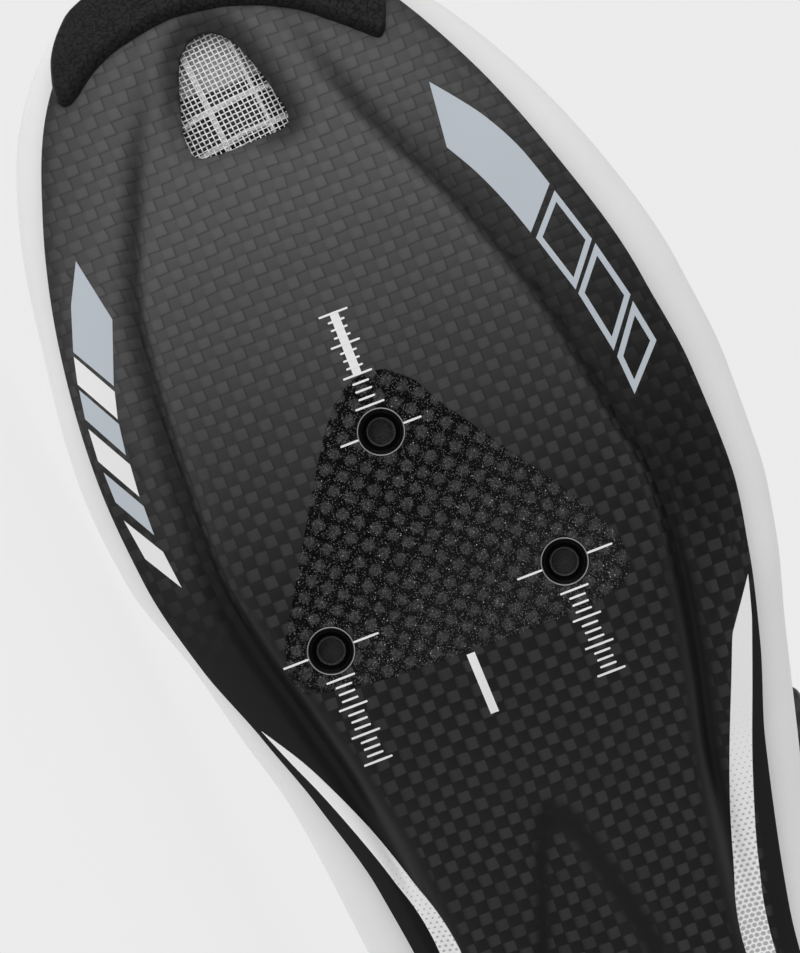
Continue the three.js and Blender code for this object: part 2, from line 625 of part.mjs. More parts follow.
function ventGrille() {
  const outline = prismForm(ventOutline(GRILLE_FRAME), 0, INSTEP_HEIGHT / 2, 4);
  let solid = outline.intersect(lastForm(-SCREEN_THICKNESS - GAP));
  solid = solid.subtract(lastForm(-SCREEN_THICKNESS - GAP - GRILLE_THICKNESS));
  const rear = ventRear();
  const columns = [-VENT_WIDTH / 2, GRILLE_LATERAL_RIB, GRILLE_MEDIAL_RIB, VENT_WIDTH / 2];
  const rows = [0, GRILLE_REAR_RIB, GRILLE_FRONT_RIB, GRILLE_PLATE];
  for (let c = 0; c + 1 < columns.length; c += 1) {
    for (let r = 0; r + 1 < rows.length; r += 1) {
      const window = new THREE.Shape();
      const left = VENT_CENTRE + columns[c] + GRILLE_RIB / 2;
      const right = VENT_CENTRE + columns[c + 1] - GRILLE_RIB / 2;
      const back = rear + rows[r] + GRILLE_RIB / 2;
      const front = rear + rows[r + 1] - GRILLE_RIB / 2;
      window.moveTo(left, back);
      window.lineTo(right, back);
      window.lineTo(right, front);
      window.lineTo(left, front);
      solid = solid.subtract(prismForm(window, 0, INSTEP_HEIGHT / 2));
    }
  }
  return solid;
}

function toeBumper(soleClear, lastClear) {
  const edge = BUMPER_EDGE.map((p) => new THREE.Vector2(p.across * BALL_WIDTH, p.along * SHOE_LENGTH));
  const plan = new THREE.Shape();
  plan.moveTo(edge[0].x, edge[0].y);
  plan.splineThru(edge.slice(1));
  plan.lineTo(-BALL_WIDTH, edge[edge.length - 1].y);
  plan.lineTo(-BALL_WIDTH, SHOE_LENGTH + BALL_WIDTH);
  plan.lineTo(BALL_WIDTH, SHOE_LENGTH + BALL_WIDTH);
  plan.lineTo(BALL_WIDTH, edge[0].y);
  const thick = GAP + PLATE + GAP + BUMPER_THICKNESS;
  const front = prismForm(plan, -STACK, INSTEP_HEIGHT, 2);
  const low = sideForm([
    [BUMPER_BACK * SHOE_LENGTH, BUMPER_LOW * INSTEP_HEIGHT], [SHOE_LENGTH + STACK, BUMPER_HIGH * INSTEP_HEIGHT],
    [SHOE_LENGTH + 2 * STACK, -STACK], [BUMPER_BACK * SHOE_LENGTH, -STACK],
  ]);
  return lastForm(thick).intersect(front).intersect(low).subtract(soleClear).subtract(lastClear);
}

// A wide prism across the shoe over an outline seen from the side, given as [y, z] corners.
function sideForm(corners) {
  const shape = new THREE.Shape(corners.map(([y, z]) => new THREE.Vector2(y, z)));
  const geometry = new THREE.ExtrudeGeometry(shape, { depth: 2 * BALL_WIDTH, bevelEnabled: false });
  geometry.translate(0, 0, -BALL_WIDTH);
  geometry.rotateX(Math.PI / 2);
  geometry.rotateZ(Math.PI / 2);
  return toSolid(geometry);
}

function heelPad(soleClear) {
  const front = HEEL_PAD_BACK + HEEL_PAD_LENGTH;
  const half = HEEL_PAD_WIDTH / 2;
  const shape = new THREE.Shape();
  shape.moveTo(-half + HEEL_PAD_CORNER, front);
  shape.quadraticCurveTo(0, front - HEEL_PAD_HOLLOW, half - HEEL_PAD_CORNER, front);
  shape.quadraticCurveTo(half, front, half, front - HEEL_PAD_CORNER);
  shape.lineTo(half, HEEL_PAD_BACK + half);
  shape.absarc(0, HEEL_PAD_BACK + half, half, 0, -Math.PI, true);
  shape.lineTo(-half, front - HEEL_PAD_CORNER);
  shape.quadraticCurveTo(-half, front, -half + HEEL_PAD_CORNER, front);
  const rounding = HEEL_PAD_ROUNDING;
  const geometry = new THREE.ExtrudeGeometry(shape, {
    depth: STACK + smooth(LAST, 'rise', 0.1) * ARCH_RISE - 2 * rounding,
    bevelThickness: rounding,
    bevelSize: rounding,
    bevelOffset: -rounding,
    bevelSegments: 1,
    curveSegments: ROUND_SIDES / 4,
  });
  geometry.translate(0, 0, rounding);
  return toSolid(geometry).subtract(soleClear);
}

// The upper

function lastingOpening() {
  const outer = [];
  const inner = [];
  const start = LASTING_MARGIN + SOLE_HEEL_INSET;
  const length = SHOE_LENGTH - SOLE_TOE_INSET - LASTING_MARGIN - start;
  for (let r = 1; r < SOLE_ROWS / 2; r += 1) {
    const y = start + (length * (1 - Math.cos((Math.PI * r) / (SOLE_ROWS / 2)))) / 2;
    const axis = smooth(LAST, 'axis', y / SHOE_LENGTH) * BALL_WIDTH;
    const round = endRound(y, start, start + length, 2 * LASTING_MARGIN, 4 * LASTING_MARGIN, 2);
    const medial = Math.max(soleHalf(y, 1) - LASTING_MARGIN, 0) * round;
    const lateral = Math.max(soleHalf(y, -1) - LASTING_MARGIN, 0) * round;
    const xs = [1, 0.5, 0, -0.5, -1].map((share) => axis + share * (share > 0 ? medial : lateral));
    outer.push(xs.map((x) => lastPoint(y, angleAt(y, x, false), WALL)));
    inner.push(xs.map((x) => lastPoint(y, angleAt(y, x, false), -2 * WALL)));
  }
  return sheetForm(outer, inner);
}

// The throat in plan: wide at the ankle, narrow and round at its front end.
function throatShape(margin) {
  const rear = THROAT_REAR * SHOE_LENGTH;
  const rearHalf = THROAT_REAR_WIDTH / 2 + margin;
  const frontHalf = THROAT_FRONT_WIDTH / 2 + margin;
  const end = THROAT_FRONT * SHOE_LENGTH - THROAT_FRONT_WIDTH / 2;
  const shape = new THREE.Shape();
  shape.moveTo(rearHalf, rear);
  shape.lineTo(frontHalf, end);
  shape.absarc(0, end, frontHalf, 0, Math.PI, false);
  shape.lineTo(-rearHalf, rear);
  return shape;
}

function upper() {
  const collarLine = new THREE.SplineCurve(
    COLLAR.map((p) => new THREE.Vector2(p.along * SHOE_LENGTH, p.high * HEEL_HEIGHT)),
  ).getPoints(COLLAR_STEPS).map((p) => [p.x, p.y]);
  const ceiling = 3 * INSTEP_HEIGHT;
  const last = collarLine[collarLine.length - 1];
  const collar = sideForm([...collarLine, [last[0], ceiling], [collarLine[0][0], ceiling]]);
  const throat = prismForm(throatShape(0), INSTEP_HEIGHT / 2, ceiling, 6);
  return lastForm(0).subtract(lastForm(-WALL)).subtract(lastingOpening()).subtract(collar).subtract(throat);
}

function insole() {
  const outer = [];
  const inner = [];
  const start = WALL + GAP + 1;
  const length = SHOE_LENGTH - 2 * start;
  for (let r = 2; r < SOLE_ROWS / 2 - 1; r += 1) {
    const y = start + (length * (1 - Math.cos((Math.PI * r) / (SOLE_ROWS / 2)))) / 2;
    const s = section(y);
    const angles = INSOLE_LINES.map((share) => (
      angleAt(y, s.axis + share * INSOLE_SPREAD * (share > 0 ? s.medial : s.lateral), false)
    ));
    outer.push(angles.map((theta) => lastPoint(y, theta, 0)));
    inner.push(angles.map((theta) => lastPoint(y, theta, -WALL - GAP - INSOLE_THICKNESS)));
  }
  return sheetForm(outer, inner).intersect(lastForm(-WALL - GAP));
}

// A sheet over the ridge of the last between two offsets, between two lengths and two half widths.
function ridgeSheet(rear, front, rearHalf, frontHalf, high, low) {
  const outer = [];
  const inner = [];
  for (let r = 0; r <= TONGUE_ROWS; r += 1) {
    const y = THREE.MathUtils.lerp(rear, front, r / TONGUE_ROWS);
    const corner = 1 - TONGUE_CORNER * (1 - easeBetween(0, 0.12, r / TONGUE_ROWS));
    const half = THREE.MathUtils.lerp(rearHalf, frontHalf, r / TONGUE_ROWS) * corner;
    const angles = TONGUE_LINES.map((share) => angleAt(y, share * half, true));
    outer.push(angles.map((theta) => lastPoint(y, theta, high)));
    inner.push(angles.map((theta) => lastPoint(y, theta, low)));
  }
  return sheetForm(outer, inner);
}

function tongue() {
  const rear = TONGUE_REAR * SHOE_LENGTH;
  const front = TONGUE_FRONT * SHOE_LENGTH;
  const rearHalf = THROAT_REAR_WIDTH / 2 + TONGUE_OVERLAP;
  const frontHalf = THROAT_FRONT_WIDTH / 2 + TONGUE_OVERLAP;
  const low = -WALL - GAP - TONGUE_THICKNESS;
  const under = ridgeSheet(rear, front, rearHalf, frontHalf, 0, low).intersect(lastForm(-WALL - GAP));
  const filling = prismForm(throatShape(-2 * GAP), INSTEP_HEIGHT / 2, 3 * INSTEP_HEIGHT, 6);
  const lifted = ridgeSheet(rear, front, rearHalf, frontHalf, WALL, low)
    .intersect(lastForm(-WALL - GAP + TONGUE_LIFT)).intersect(filling);
  return under.add(lifted);
}

// The lace and what it runs through

function laceTube(radius) {
  const points = LACE_ROUTE.map(({ along, across, lift }) => {
    const y = along * SHOE_LENGTH;
    return lastPoint(y, angleAt(y, across * BALL_WIDTH, true), lift * GUIDE_HEIGHT);
  });
  const path = new THREE.CatmullRomCurve3(points, false, 'centripetal');
  const circle = new THREE.Shape().absarc(0, 0, radius, 0, 2 * Math.PI);
  const geometry = new THREE.ExtrudeGeometry(circle, {
    steps: LACE_STEPS, extrudePath: path, curveSegments: 4, bevelEnabled: false,
  });
  return toSolid(geometry);
}

// Places a geometry on the upper: its Z along the surface's normal, its Y toward the toe.
function placeOnUpper(geometry, along, across) {
  const y = along * SHOE_LENGTH;
  const theta = angleAt(y, across * BALL_WIDTH, true);
  const normal = lastNormal(y, theta);
  const sideways = new THREE.Vector3(0, 1, 0).cross(normal).normalize();
  const forward = normal.clone().cross(sideways);
  const place = new THREE.Matrix4().makeBasis(sideways, forward, normal).setPosition(onLast(y, theta));
  geometry.applyMatrix4(place);
  return toSolid(geometry);
}

function laceGuide(guide, laceClear, lastClear) {
  const plate = new THREE.Shape();
  const halfWidth = GUIDE_WIDTH / 2;
  const halfLength = GUIDE_LENGTH / 2;
  const cut = GUIDE_WIDTH / 4;
  const inward = -Math.sign(guide.across);
  plate.moveTo(inward * halfWidth, -halfLength);
  plate.lineTo(inward * halfWidth, halfLength);
  plate.lineTo(-inward * (halfWidth - cut), halfLength);
  plate.lineTo(-inward * halfWidth, halfLength - cut);
  plate.lineTo(-inward * halfWidth, -halfLength + cut);
  plate.lineTo(-inward * (halfWidth - cut), -halfLength);
  const geometry = new THREE.ExtrudeGeometry(plate, { depth: 2 * GUIDE_HEIGHT, bevelEnabled: false });
  geometry.translate(0, 0, -GUIDE_HEIGHT);
  return placeOnUpper(geometry, guide.along, guide.across).subtract(lastClear).subtract(laceClear);
}

function dialBase(laceClear, lastClear) {
  const geometry = new THREE.CylinderGeometry(
    DIAL_BASE_WIDTH / 2, DIAL_BASE_WIDTH / 2, DIAL_BASE_HEIGHT + DIAL_ROOT, ROUND_SIDES,
  );
  geometry.rotateX(Math.PI / 2);
  geometry.translate(0, 0, (DIAL_BASE_HEIGHT - DIAL_ROOT) / 2);
  return placeOnUpper(geometry, DIAL.along, DIAL.across).subtract(lastClear).subtract(laceClear);
}

function dialKnob() {
  const shape = new THREE.Shape();
  for (let k = 0; k < 2 * DIAL_TEETH; k += 1) {
    const angle = (Math.PI * k) / DIAL_TEETH;
    const radius = DIAL_WIDTH / 2 - (k % 2) * DIAL_TOOTH;
    shape[k === 0 ? 'moveTo' : 'lineTo'](radius * Math.cos(angle), radius * Math.sin(angle));
  }
  const rounding = DIAL_ROUNDING;
  const geometry = new THREE.ExtrudeGeometry(shape, {
    depth: DIAL_HEIGHT - 2 * rounding,
    bevelThickness: rounding,
    bevelSize: rounding,
    bevelOffset: -rounding,
    bevelSegments: 1,
  });
  geometry.translate(0, 0, DIAL_BASE_HEIGHT + GAP + rounding);
  return placeOnUpper(geometry, DIAL.along, DIAL.across);
}

// The shoe, standing

function standingShoe() {
  const lastClear = lastForm(GAP);
  const soleClear = soleForm(GAP);
  const laceClear = laceTube(LACE_WIDTH / 2 + GAP);
  const shoe = new THREE.Group();
  shoe.add(toMesh('upper', upper(), WHITE_LEATHER));
  shoe.add(toMesh('outsole', outsole(lastClear), DARK_COMPOSITE));
  shoe.add(toMesh('toe_bumper', toeBumper(soleClear, lastClear), BLACK_RUBBER));
  shoe.add(toMesh('heel_pad', heelPad(soleClear), BLACK_RUBBER));
  shoe.add(toMesh('insole', insole(), GREY_FABRIC));
  shoe.add(toMesh('tongue', tongue(), GREY_FABRIC));
  boltPlaces().forEach(({ name, x, y }) => shoe.add(toMesh(name, threadedInsert(x, y), DARK_METAL)));
  shoe.add(toMesh('vent_screen', ventScreen(), WIRE));
  shoe.add(toMesh('vent_grille', ventGrille(), PALE_PLASTIC));
  shoe.add(toMesh('lace', laceTube(LACE_WIDTH / 2), WIRE));
  GUIDES.forEach((guide) => shoe.add(toMesh(guide.name, laceGuide(guide, laceClear, lastClear), BLACK_PLASTIC)));
  shoe.add(toMesh('dial_base', dialBase(laceClear, lastClear), BLACK_PLASTIC));
  shoe.add(toMesh('dial_knob', dialKnob(), BLACK_PLASTIC));
  return shoe;
}

// The shoe, laid down

// Its centre of mass, taking every solid as equally dense.
function centreOfMass(shoe) {
  const sum = new THREE.Vector3();
  let volume = 0;
  shoe.children.forEach(({ geometry }) => {
    const points = geometry.attributes.position;
    const index = geometry.index.array;
    for (let k = 0; k < index.length; k += 3) {
      const [a, b, c] = [0, 1, 2].map((n) => new THREE.Vector3().fromBufferAttribute(points, index[k + n]));
      const part = a.dot(b.clone().cross(c)) / 6;
      sum.addScaledVector(a.add(b).add(c), part / 4);
      volume += part;
    }
  });
  return sum.divideScalar(volume);
}

// The direction that points down when the shoe lies on its medial side: the normal of the face of its
// convex hull that a line from the centre of mass toward that side passes through.
function restingDirection(shoe) {
  const points = [];
  shoe.children.forEach(({ geometry }) => {
    const position = geometry.attributes.position;
    for (let k = 0; k < position.count; k += 1) points.push(new THREE.Vector3().fromBufferAttribute(position, k));
  });
  const centre = centreOfMass(shoe);
  const hull = new ConvexHull().setFromPoints(points);
  const resting = hull.faces.filter(({ normal, constant }) => {
    if (normal.x < 0.8) return false;
    const foot = centre.clone().addScaledVector(normal, constant - normal.dot(centre));
    return isOver(hull.faces.find((face) => face.normal === normal), foot);
  });
  return resting[0].normal.clone();
}

function isOver(face, point) {
  let edge = face.edge;
  do {
    const from = edge.tail().point;
    const along = edge.head().point.clone().sub(from);
    if (along.cross(point.clone().sub(from)).dot(face.normal) < 0) return false;
    edge = edge.next;
  } while (edge !== face.edge);
  return true;
}

function laidDown(shoe) {
  const down = restingDirection(shoe);
  const toe = new THREE.Vector3(0, 1, 0).projectOnPlane(down).normalize();
  const upright = toe.clone().cross(down).negate();
  const turn = new THREE.Matrix4().makeBasis(toe.negate(), upright, down.clone().negate()).transpose();
  const lying = new THREE.Group();
  lying.add(shoe);
  shoe.quaternion.setFromRotationMatrix(turn);
  lying.updateMatrixWorld(true);
  const box = new THREE.Box3().setFromObject(lying, true);
  const middle = box.getCenter(new THREE.Vector3());
  shoe.position.set(-middle.x, -middle.y, -box.min.z);
  return lying;
}

export default laidDown(standingShoe());
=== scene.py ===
"""A left road cycling shoe that lies on its medial side, seen from below the ball of the foot."""

import json
import math

import bmesh
import bpy
import numpy as np
from bpy.props import FloatProperty, FloatVectorProperty, PointerProperty
from mathutils import Matrix, Vector


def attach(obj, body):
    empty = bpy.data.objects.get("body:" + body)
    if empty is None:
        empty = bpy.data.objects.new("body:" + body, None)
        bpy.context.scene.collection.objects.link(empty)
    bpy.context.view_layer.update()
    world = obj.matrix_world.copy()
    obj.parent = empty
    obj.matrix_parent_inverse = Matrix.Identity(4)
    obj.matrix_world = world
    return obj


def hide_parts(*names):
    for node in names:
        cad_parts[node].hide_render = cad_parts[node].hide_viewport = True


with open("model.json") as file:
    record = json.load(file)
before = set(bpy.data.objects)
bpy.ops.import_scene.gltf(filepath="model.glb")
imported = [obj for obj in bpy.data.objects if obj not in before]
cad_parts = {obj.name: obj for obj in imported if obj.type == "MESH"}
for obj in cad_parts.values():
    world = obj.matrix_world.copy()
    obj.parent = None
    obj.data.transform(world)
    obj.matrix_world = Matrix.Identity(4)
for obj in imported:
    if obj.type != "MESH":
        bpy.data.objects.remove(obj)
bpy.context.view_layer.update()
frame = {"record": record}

bl_info = {
    "name": "Road Cycling Shoe",
    "version": (1, 0, 0),
    "blender": (4, 5, 0),
    "location": "3D View > Sidebar > Shoe",
    "description": "Models and finishes a road cycling shoe over its packed frame",
    "category": "Object",
}

# The shoe's own axes: X toward the medial side, Y toward the toe, Z from the sole up, in millimetres.

MM = 0.001
MOUNTS = {mount["name"]: mount for mount in frame["record"]["mounts"]}
# Where the middle of the two rear rims' mounts lies, and the line ahead of which the prints were measured.
REAR_RIMS_X = 3.675
REAR_BOLTS_Y = 166.056
PRINTS_Y = 166.0
BOLTS = (
    ("insert_front", 0.0, 198.556),
    ("insert_rear_medial", 21.75, REAR_BOLTS_Y),
    ("insert_rear_lateral", -21.75, REAR_BOLTS_Y),
)


def shoe_to_row():
    """The matrix from the shoe's own axes to the row's, from the mounts of the cleat."""
    medial = Vector(MOUNTS["insert_rear_medial_rim"]["pos_m"])
    lateral = Vector(MOUNTS["insert_rear_lateral_rim"]["pos_m"])
    up = -Vector(MOUNTS["cleat_face"]["axis"]).normalized()
    across = medial - lateral
    across = (across - up * across.dot(up)).normalized()
    forward = up.cross(across)
    turn = Matrix((across, forward, up)).transposed()
    origin = (medial + lateral) / 2 - (across * REAR_RIMS_X + forward * REAR_BOLTS_Y) * MM
    return Matrix.Translation(origin) @ turn.to_4x4() @ Matrix.Scale(MM, 4)


TO_ROW = shoe_to_row()
ACROSS = TO_ROW.to_3x3().col[0].normalized()
FORWARD = TO_ROW.to_3x3().col[1].normalized()
UP = TO_ROW.to_3x3().col[2].normalized()

# The last: named sizes in millimetres, and a table of its sections in shares of them. It is a little fuller than the
# last in model.glb, and the sole's insets and deck are a little narrower.

LENGTH = 296.0
BALL = 115.0
INSTEP = 84.0
HEEL = 88.0
SPRING = 18.0
ARCH = 14.0
WALL = 2.0
GAP = 0.3
PLATE = 2.4
STACK = 5.0
TOE_PLAN = 0.30
HEEL_PLAN = 0.12
TOE_HEIGHT = 0.10
HEEL_DOWN = 0.07
TOP_SQUARE = 2.2
SOLE_TOE_INSET = 4.0
SOLE_HEEL_INSET = 0.5
COLUMNS = (
    "along", "axis", "medial", "lateral", "inset_medial", "inset_lateral", "deck_medial", "deck_lateral",
    "spring", "rise", "belly", "top", "square", "raised",
)
LAST = np.array([
    (0.00, 0, .296, .296, .006, .006, .120, .140, 0, .42, .214, 1.18, 2.5, 0),
    (0.10, 0, .291, .296, .005, .005, .150, .170, 0, .34, .214, 1.22, 2.6, 0),
    (0.20, 0, .292, .312, .018, .017, .165, .200, 0, .48, .214, 1.32, 2.7, .2),
    (0.32, 0, .299, .380, .080, .063, .183, .230, 0, 1.0, .190, 1.38, 2.8, .8),
    (0.42, 0, .319, .443, .072, .070, .217, .271, 0, .62, .190, 1.17, 2.9, 1),
    (0.48, 0, .338, .480, .054, .061, .242, .313, 0, .22, .202, 1.03, 3.0, 1),
    (0.53, 0, .371, .514, .045, .064, .261, .335, 0, 0, .210, .94, 3.1, 1),
    (0.58, 0, .403, .534, .032, .064, .277, .342, 0, 0, .214, .87, 3.2, 1),
    (0.64, 0, .451, .537, .043, .069, .288, .314, 0, 0, .214, .79, 3.3, 1),
    (0.70, 0, .465, .522, .046, .074, .283, .285, 0, 0, .210, .735, 3.3, 1),
    (0.78, .004, .460, .494, .044, .077, .258, .219, .15, 0, .200, .675, 3.3, 1),
    (0.86, .010, .477, .467, .058, .072, .179, .130, .40, 0, .180, .645, 3.2, .6),
    (0.93, .013, .511, .433, .071, .060, .110, .080, .68, 0, .160, .635, 3.1, .05),
    (1.00, .017, .537, .383, .124, .050, .120, .080, 1.05, 0, .140, .620, 3.0, 0),
])
COLLAR = np.array([
    (-0.05, 1.00), (0.025, 1.00), (0.075, 0.91), (0.155, 0.74),
    (0.245, 0.71), (0.320, 0.84), (0.385, 1.06), (0.440, 1.30),
])


def monotone(xs, ys, at):
    """A monotone cubic through points, flat past both ends."""
    step = np.diff(xs)
    rise = np.diff(ys) / step
    slope = np.zeros(len(xs))
    before, after = rise[:-1], rise[1:]
    same = before * after > 0
    slope[1:-1][same] = 2 * (before * after)[same] / (before + after)[same]
    at = np.clip(at, xs[0], xs[-1])
    k = np.clip(np.searchsorted(xs, at, side="right") - 1, 0, len(xs) - 2)
    t = (at - xs[k]) / step[k]
    return (
        (2 * t**3 - 3 * t**2 + 1) * ys[k] + (t**3 - 2 * t**2 + t) * step[k] * slope[k]
        + (3 * t**2 - 2 * t**3) * ys[k + 1] + (t**3 - t**2) * step[k] * slope[k + 1]
    )


def straight(xs, ys, at):
    """Straight lines through points, to stand in for monotone."""
    return np.interp(at, xs, ys)


def table(column, y):
    """A column of the last's table at y, in shares."""
    return monotone(LAST[:, 0], LAST[:, COLUMNS.index(column)], np.asarray(y, float) / LENGTH)


def ease(low, high, value):
    t = np.clip((value - low) / (high - low), 0, 1)
    return t * t * (3 - 2 * t)


def end_round(y, start, end, start_length, end_length, power):
    """How much of the full section stands at y: 1 along the middle, 0 at both ends."""
    out = np.maximum((start_length - (y - start)) / start_length, (end_length - (end - y)) / end_length)
    return (1 - np.clip(out, 0, 1) ** power) ** (1 / power)


def section(y):
    """The last's section at y: its middle, its four half sizes and how square it is under the foot."""
    plan = end_round(y, 0, LENGTH, HEEL_PLAN * LENGTH, TOE_PLAN * LENGTH, 2)
    tall = end_round(y, 0, LENGTH, HEEL_PLAN * LENGTH, TOE_HEIGHT * LENGTH, 2)
    deep = end_round(y, 0, LENGTH, HEEL_DOWN * LENGTH, TOE_HEIGHT * LENGTH, 2.5)
    belly = table("belly", y) * INSTEP
    middle = STACK + table("spring", y) * SPRING + table("rise", y) * ARCH + belly
    return {
        "axis": table("axis", y) * BALL,
        "middle": middle,
        "medial": table("medial", y) * BALL * plan,
        "lateral": table("lateral", y) * BALL * plan,
        "up": (table("top", y) * INSTEP - middle) * tall,
        "down": belly * deep,
        "square": table("square", y),
    }


def on_last(y, theta):
    """Theta runs round a section: 0 medial, a quarter turn on the ridge, minus that under the foot."""
    s = section(y)
    c, n = np.cos(theta), np.sin(theta)
    power = np.where(n < 0, s["square"], TOP_SQUARE)
    reach = (np.abs(c) ** power + np.abs(n) ** power) ** (-1 / power)
    x = s["axis"] + np.where(c > 0, s["medial"], s["lateral"]) * c * reach
    z = s["middle"] + np.where(n > 0, s["up"], s["down"]) * n * reach
    return np.stack([x, y + 0 * x, z], -1)


def last_normal(y, theta):
    """The last's outward normal, taken a little inside both ends."""
    y = np.clip(y, 0.1, LENGTH - 0.1)
    along = on_last(y + 0.05, theta) - on_last(y - 0.05, theta)
    around = on_last(y, theta + 0.01) - on_last(y, theta - 0.01)
    out = np.cross(along, around)
    return out / np.linalg.norm(out, axis=-1, keepdims=True)


def last_point(y, theta, offset):
    """A point on the last, moved out along its normal by an offset."""
    y = np.clip(y, 0.004, LENGTH - 0.004)
    return on_last(y, theta) + last_normal(y, theta) * np.asarray(offset, float)[..., None]


def angle_at(y, x, upper):
    """The angle on the upper or the lower half of the section where the last has a given x."""
    s = section(y)
    power = TOP_SQUARE if upper else s["square"]
    out = x - s["axis"]
    half = np.where(out > 0, s["medial"], s["lateral"])
    share = np.minimum(np.abs(out) / np.maximum(half, 1e-6), 0.985)
    rest = (1 - share**power) ** (1 / power)
    theta = np.arctan2(rest if upper else -rest, share)
    return np.where(out > 0, theta, (np.pi if upper else -np.pi) - theta)


# The sole's ground side

def sole_half(y, side):
    """How far the sole's edge lies from the axis line, on the medial side for 1 and the lateral side for -1."""
    full, inset = ("medial", "inset_medial") if side > 0 else ("lateral", "inset_lateral")
    toe = TOE_PLAN * LENGTH - SOLE_TOE_INSET
    rounded = end_round(y, SOLE_HEEL_INSET, LENGTH - SOLE_TOE_INSET, HEEL_PLAN * LENGTH, toe, 2)
    return (table(full, y) - table(inset, y)) * BALL * rounded


def across_sole(x, y):
    """Whether a point of the sole is medial, and how far it and the sole's edge on its side lie from the axis line."""
    axis = table("axis", y) * BALL
    medial = x > axis
    return medial, np.abs(x - axis), np.where(medial, sole_half(y, 1), sole_half(y, -1))


def deck_height(y):
    return table("spring", y) * SPRING + table("rise", y) * ARCH


GROOVE_DEEP, GROOVE_PLACE, GROOVE_WIDE = 1.7, 2.6, 2.0
DECK_SLOPE = (-0.8, 4.2)


VENT_REAR, VENT_FRONT = 254.2, 275.6
VENT_CORNERS = (
    (13.4, 255.6), (13.8, 257.4), (13.7, 260.5), (12.8, 263.8), (11.9, 266.9), (11.0, 269.7), (10.2, 271.7),
    (9.2, 273.4), (7.7, 274.7), (6.1, 275.5), (4.4, 275.6), (2.7, 275.2), (1.3, 274.2), (0.1, 272.8),
    (-0.8, 271.2), (-1.9, 268.3), (-3.0, 265.0), (-3.9, 261.3), (-4.6, 258.2), (-4.7, 256.4), (-4.1, 255.0),
    (-2.7, 254.5), (0.3, 254.3), (4.5, 254.2), (9.0, 254.2), (12.1, 254.6),
)
VENT_BORDER_DEEP, VENT_NEAR = 1.5, 14.0
# The hollow in the arch: its tip, where its sides are full and where it fades, along Y; its sides and its tip, along X.
RELIEF = {"tip": 129.0, "legs": 97.7, "fade": 71.0, "medial": 5.75, "lateral": -12.1, "start": -5.2}
RELIEF_DEEP = 1.9


def vent_outline(margin):
    """The toe vent in plan, grown by a margin: a broad rear edge with round corners and an arched front."""
    corners = np.array(VENT_CORNERS)
    before, after = np.roll(corners, 1, axis=0), np.roll(corners, -1, axis=0)
    middles = (corners + after) / 2 + (corners + after - before - np.roll(corners, -2, axis=0)) / 16
    points = np.stack([corners, middles], 1).reshape(-1, 2)
    along = np.roll(points, -1, axis=0) - np.roll(points, 1, axis=0)
    along /= np.linalg.norm(along, axis=1, keepdims=True)
    return points + margin * np.stack([along[:, 1], -along[:, 0]], -1)


def convex_distance(outline, x, y):
    """How far a point lies outside a convex outline, less than 0 inside it."""
    nearest = np.full(np.shape(x), -1e9)
    for a, b in zip(outline, np.roll(outline, -1, axis=0)):
        along = (b - a) / max(np.hypot(*(b - a)), 1e-9)
        nearest = np.maximum(nearest, (x - a[0]) * along[1] - (y - a[1]) * along[0])
    return nearest


VENT_EDGE = vent_outline(0)


def beyond_deck(x, y):
    """How far a point of the sole lies outside the raised deck."""
    medial, out, edge = across_sole(x, y)
    deck = np.where(medial, table("deck_medial", y), table("deck_lateral", y)) * BALL
    return out - np.minimum(deck, 0.72 * edge)


def near_vent(y):
    return (y > VENT_REAR - VENT_NEAR) & (y < VENT_FRONT + VENT_NEAR)


def relief_share(x, y):
    """How far inside the hollow of the arch a point lies, from 0 to 1, over its sloped sides."""
    spread = np.clip((RELIEF["tip"] - y) / (RELIEF["tip"] - RELIEF["legs"]), 0, 1)
    inner = RELIEF["start"] + (RELIEF["medial"] - RELIEF["start"]) * spread
    outer = RELIEF["start"] + (RELIEF["lateral"] - RELIEF["start"]) * spread
    fading = ease(0, 12, RELIEF["tip"] + 2 - y) * (1 - ease(-16, 0, RELIEF["fade"] + 4 - y))
    return ease(-4.5, 0.6, inner - x) * ease(-4.5, 3.9, x - outer) * fading


def sole_point(y, x):
    """The finished ground side of the sole: deck, grooves, the hollow in the arch, the vent's border."""
    raised = table("raised", y)
    beyond = beyond_deck(x, y)
    groove = GROOVE_DEEP * np.exp(-(((beyond - GROOVE_PLACE) / GROOVE_WIDE) ** 2)) * raised
    flat = last_point(y, angle_at(y, x, False), GAP + PLATE - groove)
    weight = (1 - ease(*DECK_SLOPE, beyond)) * raised
    deck = np.stack([x + 0 * y, y + 0 * x, deck_height(y) + 0 * x], -1)
    point = flat + (deck - flat) * weight[..., None]
    dip = np.where(near_vent(y), 1 - ease(-0.6, 4.6, convex_distance(VENT_EDGE, x, y)), 0)
    point[..., 2] += VENT_BORDER_DEEP * dip + RELIEF_DEEP * relief_share(x, y)
    return point


def on_sole(x, y, out):
    """A point over the sole's ground side, out by a distance along its normal."""
    step = 0.05
    point = sole_point(y, x)
    across = sole_point(y, x + step) - sole_point(y, x - step)
    along = sole_point(y + step, x) - sole_point(y - step, x)
    normal = np.cross(along, across)
    normal /= np.linalg.norm(normal, axis=-1, keepdims=True)
    return point + normal * np.asarray(out, float)[..., None]


# Making meshes and pieces

